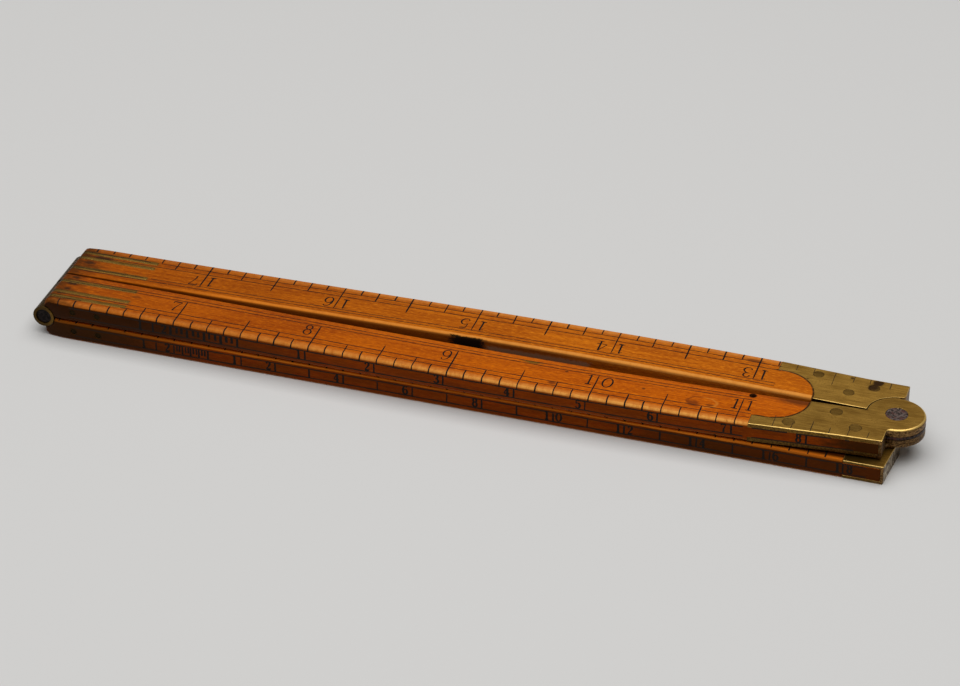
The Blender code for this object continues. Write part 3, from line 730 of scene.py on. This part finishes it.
def brass(name, shift, dirt=0.5, blots=(), shade=1.0, shine=1.0, sides=0.9):
    """Old brass: olive patina, fine scratches, sides darkened with patina and painted shade, and edges that
    handling keeps bright, with a painted highlight on them.
    """
    s = Shader(name)
    brushed = s.noise(BRUSHING, 4, 0.7, shift)
    hair = s.noise(scaled(BRUSHING, 2.2), 2, 0.5, shift + 2)
    cloud = s.noise((0.3, 0.4, 0.4), 5, 0.6, shift)
    fleck = s.noise((3.4, 3.4, 3.4), 4, 0.65, shift + 5)
    tone = s.add(s.mul(brushed, 0.45), s.mul(hair, 0.3), s.mul(cloud, 0.25))
    s.colour = s.mix(s.ramp(tone, 0.4, 0.6), scaled(BRASS_DARK, shade), scaled(BRASS_LIGHT, shade))
    tarnish = s.ramp(s.add(s.mul(fleck, 0.7), s.mul(cloud, 0.3)), 0.54, 0.68)
    s.paint(TARNISH, tarnish, dirt)

    # Sides keep a dark patina, which also stands as painted shade on the upright sides
    level = s.abs(s.axes(s.facing)[2])
    wall = s.ramp(level, 0.6, 0.3)
    speckle = s.noise((2.6, 2.6, 3.4), 4, 0.75, shift + 8)
    brown = s.mix(s.ramp(speckle, 0.4, 0.6), *BROWN_PATINA_AND_SHADE)
    golden = s.mix(s.ramp(fleck, 0.35, 0.65), *GOLDEN_PATINA_AND_SHADE)
    patina = s.mix(s.ramp(s.axes()[0], *JOINT_END), golden, brown)
    s.paint(s.vector("SCALE", patina, scale=shade), wall, sides)

    # Rounded edges are rubbed bright; their pale colour and lower metallic also paint in a highlight
    edge = s.mul(s.ramp(level, 0.995, 0.93), s.ramp(level, 0.35, 0.65))
    edge = s.mul(edge, s.ramp(fleck, 0.25, 0.5, 0.4 * shine, shine))
    s.paint(RUBBED_EDGE_AND_HIGHLIGHT, edge, 0.85)

    for blot in blots:
        blot(s)
    s.set("Base Color", s.colour)
    s.set("Metallic", s.ramp(edge, 0, 1, 0.95, 0.6))
    rough = s.add(s.mul(brushed, 0.14), s.mul(tarnish, 0.12))
    rough = s.sub(rough, s.mul(edge, 0.16))
    s.set("Roughness", s.add(rough, 0.38))
    s.bump(s.add(s.mul(brushed, 0.5), s.mul(hair, 0.5), s.mul(fleck, 0.3)), 0.35, 0.03)
    return s.material


def iron(name, shift, shade=1.0, rust_shade=1.0):
    """Grey iron with brown and purple rust."""
    s = Shader(name)
    fine = s.noise((2.4, 2.4, 2.4), 5, 0.7, shift)
    broad = s.noise((0.9, 0.9, 0.9), 4, 0.6, shift + 7)
    s.colour = s.mix(s.ramp(fine, 0.42, 0.58), scaled(IRON_DARK, shade), scaled(IRON_LIGHT, shade))
    rust = s.ramp(s.add(s.mul(fine, 0.5), s.mul(broad, 0.5)), 0.49, 0.58)
    s.paint(scaled(RUST, rust_shade), rust, 0.9)
    s.set("Base Color", s.colour)
    s.set("Metallic", s.ramp(rust, 0, 1, 0.8, 0.1))
    s.set("Specular IOR Level", 0.2)
    s.set("Roughness", s.ramp(fine, 0.3, 0.7, 0.35, 0.6))
    s.bump(fine, 0.4, 0.05)
    return s.material


def ink(name, worn, colour=(0.009, 0.005, 0.003), under=(0.17, 0.032, 0.002)):
    """Black filling in a cut, rubbed thin in places."""
    s = Shader(name)
    patch = s.noise((0.7, 0.9, 0.9), 4, 0.65, 3)
    grit = s.noise((6.0, 6.0, 6.0), 3, 0.6, 11)
    rubbed = s.add(s.mul(patch, 0.6), s.mul(grit, 0.4))
    s.set("Base Color", s.mix(s.ramp(rubbed, 0.62 - worn, 0.78 - worn), colour, under))
    s.set("Roughness", s.ramp(grit, 0.3, 0.7, 0.45, 0.75))
    s.set("Specular IOR Level", 0.12)
    s.bump(grit, 0.4, 0.02)
    return s.material


# CAD pieces

DOUBLES = 0.001  # points of a CAD mesh that are nearer than this are one point
SHARP = 0.7  # radians between faces, at an edge that stays sharp
FLAT = 0.01  # and between faces that count as one


def mesh_group(name, fill):
    """A geometry node group. fill adds its nodes between the incoming and the outgoing mesh."""
    group = bpy.data.node_groups.new(name, "GeometryNodeTree")
    group.interface.new_socket("Geometry", in_out="INPUT", socket_type="NodeSocketGeometry")
    group.interface.new_socket("Geometry", in_out="OUTPUT", socket_type="NodeSocketGeometry")
    start = group.nodes.new("NodeGroupInput")
    end = group.nodes.new("NodeGroupOutput")
    group.links.new(fill(group, start.outputs[0]), end.inputs[0])
    return group


def join_faces(group, mesh):
    """Joins the separate triangles of a CAD mesh and drops their own normals."""
    clear = group.nodes.new("GeometryNodeRemoveAttribute")
    clear.inputs["Name"].default_value = "custom_normal"
    weld = group.nodes.new("GeometryNodeMergeByDistance")
    weld.inputs["Distance"].default_value = DOUBLES * METRE
    group.links.new(mesh, clear.inputs[0])
    group.links.new(clear.outputs[0], weld.inputs[0])
    return weld.outputs[0]


def smooth_rounds(group, mesh):
    """Shades a mesh smooth, apart from its sharp edges."""
    angle = group.nodes.new("GeometryNodeInputMeshEdgeAngle")
    sharp = group.nodes.new("FunctionNodeCompare")
    sharp.operation = "GREATER_THAN"
    sharp.inputs[1].default_value = SHARP
    group.links.new(angle.outputs["Unsigned Angle"], sharp.inputs[0])
    faces = group.nodes.new("GeometryNodeSetShadeSmooth")
    faces.domain = "FACE"
    edges = group.nodes.new("GeometryNodeSetShadeSmooth")
    edges.domain = "EDGE"
    edges.inputs["Shade Smooth"].default_value = False
    group.links.new(mesh, faces.inputs[0])
    group.links.new(faces.outputs[0], edges.inputs[0])
    group.links.new(sharp.outputs[0], edges.inputs["Selection"])
    return edges.outputs[0]


joined = mesh_group("join_faces", join_faces)
smoothed = mesh_group("smooth_rounds", smooth_rounds)


def dress(node, material, wear=0.0):
    """Gives a CAD node its material and smooth rounds, and worn edges where wear says how wide."""
    piece = nodes[node]
    piece.data.materials.clear()
    piece.data.materials.append(material)
    piece.modifiers.new("join", "NODES").node_group = joined
    if wear:
        flat = piece.modifiers.new("flat", "DECIMATE")
        flat.decimate_type = "DISSOLVE"
        flat.angle_limit = FLAT
        bevel = piece.modifiers.new("wear", "BEVEL")
        bevel.width = wear * METRE
        bevel.segments = 3
        bevel.limit_method = "ANGLE"
        bevel.angle_limit = SHARP
        bevel.use_clamp_overlap = False
    piece.modifiers.new("smooth", "NODES").node_group = smoothed
    if wear:
        even = piece.modifiers.new("even", "WEIGHTED_NORMAL")
        even.weight = 100
        even.keep_sharp = True


EDGE_WEAR = {1: 0.23, -1: 0.1}  # radius of the worn edge, on the upper and the lower plates
DISC_WEAR = 1.9  # shares of that radius, round a plate
OUTER_WEAR = 1.0
GAP_WEAR = 0.6  # at the gap, on the far plates
HOLE_WEAR = 0.04
OTHER_WEAR = 0.2
DISC_START = 74.2  # x past which the near plates' edge is the disc's
EDGE_BAND = 0.25
HOLE_BAND = 1.2  # in radii
EDGE_STEPS = 4
FLAT_MARGIN = 0.05  # a flat band inside the worn edge
PLATE_SHARP = 0.6


def rim_loops(cap):
    """The closed rims of a flat list of faces, each with the faces on its left."""
    inside = set(cap)
    follow = {}
    for face in cap:
        for corner in face.loops:
            if sum(f in inside for f in corner.edge.link_faces) == 1:
                follow[corner.vert] = corner.link_loop_next.vert
    loops = []
    while follow:
        start = next(iter(follow))
        loop = [start]
        step = follow.pop(start)
        while step is not start:
            loop.append(step)
            step = follow.pop(step)
        loops.append(loop)
    return loops


def worn_plate(node, leg, material):
    """An arch plate with the edge of its outward face rounded by wear, most where hands reach it."""
    side = -1 if leg == "near" else 1
    up = 1 if "top" in node else -1
    edge_wear = EDGE_WEAR[up]
    holes = [hole(f"{leg}_inner_leg_rivet_{k}") for k in (1, 2, 3)] + [hole("rule_joint_pin")]
    form = bmesh.new()
    form.from_mesh(nodes[node].data)
    bmesh.ops.remove_doubles(form, verts=form.verts, dist=DOUBLES * METRE)
    level = up * max(up * v.co.z for v in form.verts)

    def on_cap(face):
        return face.normal.z * up > 0.9 and abs(face.calc_center_median().z - level) < 0.01 * METRE

    def wear(place):
        at = Vector((place.x, place.y)) / METRE
        if any((at - middle).length < HOLE_BAND * radius for middle, radius in holes):
            return HOLE_WEAR
        low, high = leg_edges(side, True, at.x)
        if side < 0 and at.x > DISC_START:
            return DISC_WEAR
        if side * at.y > high - EDGE_BAND:
            return OUTER_WEAR
        return GAP_WEAR if side > 0 and side * at.y < low + EDGE_BAND else OTHER_WEAR

    cap = [f for f in form.faces if on_cap(f)]
    loops = rim_loops(cap)
    bmesh.ops.delete(form, geom=cap, context="FACES")

    edges = []
    for loop in loops:
        count = len(loop)
        places = [v.co.copy() for v in loop]
        amounts = [wear(p) for p in places]
        for _ in range(2):
            before, after = amounts[-1:] + amounts[:-1], amounts[1:] + amounts[:1]
            amounts = [(a + 2 * b + c) / 4 for a, b, c in zip(before, amounts, after)]
        inward = []
        for i, place in enumerate(places):
            one = (place - places[i - 1]).normalized()
            two = (places[(i + 1) % count] - place).normalized()
            axis = Vector((0, 0, up))
            a, b = axis.cross(one), axis.cross(two)
            inward.append((a + b) / max(1 + a.dot(b), 0.5))
        ring = loop
        for vert, amount in zip(ring, amounts):
            vert.co.z = level - up * amount * edge_wear * METRE
        for step in range(1, EDGE_STEPS + 2):
            turn = min(step / EDGE_STEPS, 1) * pi / 2
            spare = FLAT_MARGIN if step > EDGE_STEPS else 0
            after = []
            for place, amount, way in zip(places, amounts, inward):
                radius = amount * edge_wear * METRE
                inset = radius * (1 - cos(turn)) + spare * METRE
                drop = radius * (1 - sin(turn))
                after.append(form.verts.new(place + way * inset - Vector((0, 0, up * drop))))
            for i in range(count):
                form.faces.new((ring[i], ring[(i + 1) % count], after[(i + 1) % count], after[i]))
            ring = after
        edges += [form.edges.get((ring[i], ring[(i + 1) % count])) for i in range(count)]
    bmesh.ops.triangle_fill(form, edges=edges, use_beauty=True, use_dissolve=False, normal=(0, 0, up))
    bmesh.ops.recalc_face_normals(form, faces=form.faces)
    for face in form.faces:
        face.smooth = True
    for edge in form.edges:
        edge.smooth = edge.calc_face_angle(pi) < PLATE_SHARP
    mesh = bpy.data.meshes.new(f"{node}_worn")
    form.to_mesh(mesh)
    form.free()
    mesh.materials.append(material)
    piece = add_object(mesh.name, mesh)
    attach(piece, f"{leg}_inner")
    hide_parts(node)


def photo_x(x):
    """x in the rule's frame, from the distance to the 12-inch plane."""
    return RULE_END + x


def hole(node):
    """The middle and radius of an upright pin or rivet, in millimetres."""
    low, high = (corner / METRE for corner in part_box(node))
    return Vector(((low.x + high.x) / 2, (low.y + high.y) / 2)), (high.x - low.x) / 2


def barrel_grime(s):
    """Painted shade and dirt that darken the brass towards the barrel."""
    fleck = s.noise((1.5, 1.5, 1.5), 4, 0.6, 3)
    reach = s.add(s.axes()[0], s.spread(fleck, 3.0))
    s.paint((0.035, 0.02, 0.006), s.ramp(reach, HINGE_X + 3.0, HINGE_X - 0.2, 0, 0.8))


def pale_scrapes(s):
    """Pale residue in a few fine scrapes on a tip's end face, over painted shade that darkens the end face.
    """
    end = s.ramp(s.axes(s.facing)[0], 0.8, 0.95)
    scrape = s.ramp(s.noise((1.3, 2.4, 0.8), 5, 0.7, 4), 0.505, 0.55, 0, 0.9)
    scrape = s.mul(scrape, s.ramp(s.axes()[1], -2.5, -5.0, 0.25, 1.0))
    # Painted shade on the tip's end face
    s.paint((0.07, 0.045, 0.02), end, 0.6)
    s.paint((0.62, 0.52, 0.37), end, scrape)


def tip_grime(s):
    """Painted shadow on the face of a tip that lies against the leg above, deepest away from the tip's end.
    """
    nz = s.axes(s.facing)[2]
    hidden = s.ramp(s.axes()[0], 75.0, 70.5, 0.15, 0.75)
    s.paint((0.075, 0.035, 0.004), s.ramp(nz, 0.85, 0.97), hidden)


def gap_grime(s):
    """Painted shade on the walls of the gap between the two arch plates."""
    x, y, _ = s.axes()
    level = s.abs(s.axes(s.facing)[2])
    wall = s.mul(s.ramp(level, 0.6, 0.3), s.ramp(s.abs(y), 1.3, 1.0))
    s.paint((0.02, 0.01, 0.004), wall, s.ramp(x, 71.0, 69.5, 0, 0.9))


def rivet_seams(leg):
    return [outline(*hole(f"{leg}_inner_leg_rivet_{k}")) for k in (1, 2, 3)]


def stains(*rows):
    """Stains by their distance to the 12-inch plane."""
    return [stain(photo_x(x), *rest) for x, *rest in rows]


DARK = (0.02, 0.01, 0.006)
BLOT = (0.05, 0.02, 0.007)
near_stains = [
    stain(*hole("closing_pin")[0], 0.68, 0.68, DARK, 0.97, 0.2, 0.05),
    *stains(
        (-149, -3, 1.0, 0.45, DARK, 0.9),
        (-149.3, -4.9, 0.6, 0.4, DARK, 0.8),
        (-149.3, -0.9, 0.6, 0.4, DARK, 0.7),
        (-136.4, -3.9, 1.0, 0.3, DARK, 0.5),
        (-63, -3.1, 1.6, 0.35, (0.12, 0.07, 0.008), 0.9),
        (-58, -8.2, 0.7, 0.5, (0.12, 0.022, 0.004), 0.8),
        (-56.5, -4.1, 0.3, 0.25, DARK, 0.7),
        (-42.5, -5.3, 0.3, 0.25, DARK, 0.7),
    ),
    drip(photo_x(-32), -6.3, 2.6, 1.5),
    *stains(
        (-33.4, -7.0, 1.1, 0.8, (0.17, 0.03, 0.003), 0.85),
        (-30.5, -6.9, 0.7, 0.25, DARK, 0.6),
        (-16.3, -1.3, 3.6, 1.0, (0.10, 0.022, 0.003), 0.85, 0.6, 0.15),
    ),
    arch_seam,
]
far_stains = stains(
    (-147, 6.5, 1.6, 0.7, DARK, 0.8),
    (-149, 4.5, 1.0, 0.5, DARK, 0.8),
    (-26.5, 8.9, 1.6, 0.45, (0.10, 0.025, 0.005), 0.7),
)
far_walls = (
    (photo_x(-79.3), photo_x(-73.0), INNER_HIGH + 1, (0.006, 0.005, 0.004), 0.97),
    (photo_x(-72.7), photo_x(-54.0), 6.25, (0.25, 0.135, 0.075), 0.8),
)
far_slope = ((0.78, 0.78, 1.0), (1.18, 1.38, 3.2))
outer_stains = stains((-76.2, 0, 3.4, 2.2, (0.008, 0.006, 0.005), 0.95, 0.3))
WOODS = {
    "near_inner_leg": boxwood("boxwood_near_inner", -1, True, near_stains),
    "far_inner_leg": boxwood("boxwood_far_inner", 1, True, [*far_stains, arch_seam], far_walls, far_slope),
    "near_outer_leg": boxwood("boxwood_near_outer", -1, False, outer_stains),
    "far_outer_leg": boxwood("boxwood_far_outer", 1, False, outer_stains),
}
near_blots = [*rivet_seams("near"), arch_seam, gap_grime]
rivet_blots = stains(
    (-4.6, 8.3, 0.95, 0.8, BLOT, 0.95, 0.25, 0.3),
    (-5.2, 6.8, 0.85, 1.0, BLOT, 0.85, 0.3, 0.3),
    (-9.2, 8.6, 0.35, 0.3, BLOT, 0.8),
    (-16.5, 6.1, 0.25, 0.2, BLOT, 0.7),
)
far_blots = [*rivet_seams("far"), *rivet_blots, arch_seam, gap_grime]
tip_blots = [tip_grime, pale_scrapes]
rivet_brass = brass("brass_rivets", 51.0, 0.8, shade=0.6, shine=0.0)
METALS = (  # the first key that is in a node's name gives the width of its worn edges and its metal
    ("far_inner_leg_top_arch_plate", 0.0, brass("brass_far_arch_plates", 23.0, blots=far_blots, shade=1.2)),
    # The lower plates: a darker, duller copy of the brass, as painted shade for plates that face down
    ("bottom_arch_plate", 0.0, brass("shaded_brass_lower_arch_plates", 14.0, 0.7, (), 0.7, 0.25, 0.95)),
    ("end_block", 0.1, brass("brass_end_blocks", 66.0, 0.9, (), 0.6, 0.3)),
    ("far_inner_leg_rivet_3", 0.03, brass("brass_blotted_rivet", 51.0, 0.8, rivet_blots, 0.6, 0.0)),
    ("rivet", 0.03, rivet_brass),
    ("cross_pin", 0.04, brass("brass_cross_pins", 37.0, 1.0, (), 0.12, 0.0)),
    ("tip_pin", 0.04, rivet_brass),
    ("hinge_leaf", 0.05, brass("brass_hinge_leaves", 77.0, 0.8, [barrel_grime], 0.75, 0.1, 0.6)),
    ("far_outer_leg_tip_cap", 0.16, brass("brass_far_tip", 97.0, 0.8, [tip_grime], 0.85, 0.8)),
    ("tip_cap", 0.16, brass("brass_near_tip", 91.0, 0.8, tip_blots, 0.85, 0.8)),
    ("closing_pin", 0.04, rivet_brass),
    ("middle_leaf", 0.06, iron("iron_middle_leaf", 15.0, 0.35)),
    ("rule_joint", 0.04, iron("iron_pins", 2.0)),
    # The hinge pins' very dark iron also carries painted shade for the shaded end of the barrel
    ("hinge_pin", 0.04, iron("iron_hinge_pins", 8.0, 0.1, 0.12)),
    ("", 0.0, brass("brass_near_arch_plates", 3.0, blots=near_blots)),
)
for node in nodes:
    if node in WOODS:
        dress(node, WOODS[node])
        continue
    wear, metal = next(row[1:] for row in METALS if row[0] in node)
    dress(node, metal, wear)
    if node.endswith("arch_plate"):
        worn_plate(node, node.split("_")[0], metal)

# Graduations

cut_ink = ink("black_cuts", 0.02)
line_ink = ink("scribed_lines", 0.045, (0.022, 0.009, 0.004))
stamp_ink = ink("stamped_digits", 0.0)
FIRST_LINE = 1.8  # insets of the two lines that end the eighths and the quarters
SECOND_LINE = 3.05
HALF_START = 5.0
DIGIT_BASE = 3.85
DIGIT_HEIGHT = 3.05
DIGIT_SCATTER = 0.08
INNER_LINES = (1.5, 2.3)  # from the inner edge
HINGE_TICKS = 14.0  # ticks run on past the start of the lines
SHORT_TICK = 1.4  # beside the hinge leaves
NEAR_TICK_END = -0.55  # ticks run over the near inner leg's rounded edge,
INNER_TICK_END = -0.1  # to the other edges of the inner legs
OUTER_TICK_END = 0.15  # and not quite to those of the outer legs
NUMBER_PLACES = (-1.6, 1.5)  # a number's digits stand on either side of its mark


def graduate(face, inches, place, ends, ticks, lines):
    """Ticks in eighths of an inch, and the lines that they run to. place gives x from inches."""
    for line in (FIRST_LINE, SECOND_LINE):
        scribe(lines, face, *ends, lambda x: line)
    for line in INNER_LINES:
        scribe(lines, face, *ends, lambda x: face.inset(x, line), LINE_WIDTH * 0.9)
    tick_end = OUTER_TICK_END
    if face.inner:
        tick_end = NEAR_TICK_END if face.round == NEAR_ROUND else INNER_TICK_END
    start, end = inches
    for eighth in range(start * 8 + 1, end * 8):
        x = place(eighth / 8)
        if not ends[0] - HINGE_TICKS < x < ends[1]:
            continue
        if x < LEAF_END:
            inset = SHORT_TICK
        elif eighth % 8 == 0:
            inset = face.inset(x, INNER_LINES[-1])
        elif eighth % 4 == 0:
            inset = HALF_START
        else:
            inset = SECOND_LINE if eighth % 2 == 0 else FIRST_LINE
        tick(ticks, face, x, inset, tick_end)


def stamp(stamps, face, character, x):
    digit(stamps, face, character, x, DIGIT_BASE + rng.normal(0, DIGIT_SCATTER), DIGIT_HEIGHT)


def number(face, inches, place, stamps):
    """The inch numbers along a face."""
    for inch in range(inches[0] + 1, inches[1]):
        for character, away in zip(str(inch), NUMBER_PLACES):
            stamp(stamps, face, character, place(inch) + face.reads * away)


def inches_from(x, known, sign):
    """Gives x from inches along a leg, where one inch mark's x is known."""
    return lambda inch: x + sign * (inch - known) * INCH


FOLD = RULE_END - 6 * INCH
WOOD_START = HINGE_X + 1.2
ARCH_HORN = 53.0
STAMPED = {  # numbers that the photograph shows, as distances to the 12-inch plane
    "near_inner": (
        ("7", -128.5), ("8", -103.4), ("9", -77.8), ("1", -52.0), ("0", -48.9), ("1", -26.4), ("1", -24.0),
    ),
    "far_inner": (
        ("7", -128.6), ("1", -125.6), ("6", -103.3), ("1", -100.2), ("5", -78.0), ("1", -74.8),
        ("4", -53.0), ("1", -49.6), ("3", -26.9), ("1", -24.0),
    ),
}
LEGS = (
    ("near_inner", (6, 12), inches_from(RULE_END, 12, 1), (WOOD_START + 0.5, ARCH_HORN - 1.8)),
    ("far_inner", (12, 18), inches_from(RULE_END, 12, -1), (WOOD_START + 0.5, ARCH_HORN)),
    ("near_outer", (0, 6), inches_from(FOLD, 6, -1), (WOOD_START, 67.0)),
    ("far_outer", (18, 24), inches_from(FOLD, 18, 1), (WOOD_START, 66.5)),
)
for body, inches, place, ends in LEGS:
    ticks, lines, stamps = Marks(), Marks(), Marks()
    front, back = Face(body), Face(body, back=True)
    graduate(front, inches, place, ends, ticks, lines)
    for character, x in STAMPED.get(body, ()):
        stamp(stamps, front, character, photo_x(x))
    if body not in STAMPED:
        number(front, inches, place, stamps)
    graduate(back, inches, place, ends, ticks, lines)
    number(back, inches, place, stamps)
    ticks.build(f"{body}_graduations", body, cut_ink, "boxwood")
    lines.build(f"{body}_scribed_lines", body, line_ink, "boxwood")
    stamps.build(f"{body}_numbers", body, stamp_ink, "boxwood")

# Drafting scales along the sides

SIDE_DIGIT = {"height": 1.7, "squeeze": 0.95, "weight": 2.3}
SIDE_BASE = 0.2  # from the lower line to a number's foot
SIDE_PLACES = {1: (-1.25,), 2: (-1.0, 1.1)}  # of a number's digits from its mark, by their count
SIDE_TICK_WIDTH = TICK_WIDTH * 1.15
LABEL_GAP = 3.4  # from the divided unit to the mark in the number at its end
LABEL_PLACES = (-2.4, 2.1)
LINES_BEYOND = 8.0  # the lines run on past the last mark
LINES_END = 72.0
INNER_BAND = (6.6, 4.75)  # heights of a scale's two lines
OUTER_BAND = (2.75, 0.9)


def side_scale(body, zero, unit, count, band, step):
    """A scale whose first unit is cut into twelfths. Every step-th mark is numbered."""
    top, foot = band
    side = Side(body)
    cuts, stamps, lines = Marks(), Marks(), Marks()

    def write(text, x, places):
        for character, away in zip(text, places):
            digit(stamps, side, character, x + side.reads * away, foot + SIDE_BASE, **SIDE_DIGIT)

    start, end = sorted((zero - side.reads * unit * 4, zero + side.reads * unit * count))
    start, end = max(start, WOOD_START + 4), min(end + LINES_BEYOND, LINES_END)
    for z in band:
        scribe(lines, side, start, end, lambda x: z, LINE_WIDTH * 1.4)
    for part in range(13):
        x = zero - side.reads * unit * part / 12
        tick(cuts, side, x, top, foot + (0.1 if part % 3 == 0 else 0.6), TICK_WIDTH * min(1.9, unit / 5))
    for n in range(1, count + 1):
        x = zero + side.reads * unit * n
        tick(cuts, side, x, top, foot, SIDE_TICK_WIDTH)
        if n % step == 0 or n == 1:
            write(str(n), x, SIDE_PLACES[len(str(n))])
    middle = zero - side.reads * (unit + LABEL_GAP)
    tick(cuts, side, middle, top, foot, SIDE_TICK_WIDTH)
    write("12", middle, LABEL_PLACES)
    cuts.build(f"{body}_side_graduations", body, cut_ink, "boxwood")
    stamps.build(f"{body}_side_numbers", body, stamp_ink, "boxwood")
    lines.build(f"{body}_side_lines", body, line_ink, "boxwood")


side_scale("near_inner", photo_x(-114.8), INCH / 2, 8, INNER_BAND, 1)
side_scale("near_outer", photo_x(-120.7), INCH / 4, 18, OUTER_BAND, 2)
side_scale("far_inner", photo_x(-16.0), INCH / 2, 8, INNER_BAND, 1)
side_scale("far_outer", photo_x(-20.0), INCH / 4, 18, OUTER_BAND, 2)

# Graduations that run on across the arch plates, as places along the rule and insets

plate_ink = ink("cuts_in_brass", 0.1, (0.03, 0.018, 0.008), (0.16, 0.09, 0.02))
PLATE_TICK_END = 0.25
PLATE_TICK_WIDTH = 0.13
PLATE_TICKS = {
    "near_inner": ((-19.1, 3.6), (-15.9, 2.0), (-12.7, 3.15), (-9.5, 2.0), (-6.4, 2.75), (-3.2, 2.25)),
    "far_inner": ((-19.0, 1.85), (-15.9, 2.05), (-12.2, 4.35), (-8.8, 2.25), (-6.0, 1.7), (-2.4, 2.15)),
}
for body, cuts in PLATE_TICKS.items():
    face = Face(body)
    ticks = Marks()
    for x, inset in cuts:
        tick(ticks, face, photo_x(x), inset, PLATE_TICK_END, PLATE_TICK_WIDTH)
    ticks.build(f"{body}_plate_graduations", body, plate_ink, "aged_brass")

# Stage. The sizes and places of the floor and the lamp are in metres.

FLOOR = 3.0
FLOOR_DROP = 0.00004
corners = [(-FLOOR, -FLOOR, 0), (FLOOR, -FLOOR, 0), (FLOOR, FLOOR, 0), (-FLOOR, FLOOR, 0)]
floor_mesh = bpy.data.meshes.new("floor")
floor_mesh.from_pydata(corners, [], [[0, 1, 2, 3]])
floor = add_object("floor", floor_mesh)
floor.location.z = -FLOOR_DROP
pale = Shader("pale_floor")
pale.set("Base Color", (0.64, 0.635, 0.625, 1.0))
pale.set("Roughness", 0.85)
floor_mesh.materials.append(pale.material)

world = bpy.data.worlds.new("studio")
scene.world = world
world.use_nodes = True
sky = world.node_tree.nodes["Background"]
sky.inputs["Color"].default_value = (1.0, 0.98, 0.95, 1.0)
sky.inputs["Strength"].default_value = 0.14

softbox = bpy.data.lights.new("overhead", "AREA")
softbox.shape = "RECTANGLE"
softbox.size = softbox.size_y = 1.1
softbox.energy = 8.6
lamp = add_object("overhead", softbox)
LAMP_PLACE = Vector((0, -0.04, 0.8))
lamp.location = LAMP_PLACE
lamp.rotation_euler = (-LAMP_PLACE).to_track_quat("-Z", "Y").to_euler()

view = bpy.data.cameras.new("camera")
view.sensor_fit = "HORIZONTAL"
view.sensor_width = 36.0
view.lens = 122.0
view.clip_start = 0.01
camera = add_object("camera", view)
scene.camera = camera
AIM = Vector((1.06, 0.04, 7.45)) * METRE
LOOK = Vector((-0.2533, 0.8029, -0.5397)).normalized()
DISTANCE = 566.75
camera.location = AIM - LOOK * DISTANCE * METRE
camera.rotation_euler = LOOK.to_track_quat("-Z", "Y").to_euler()
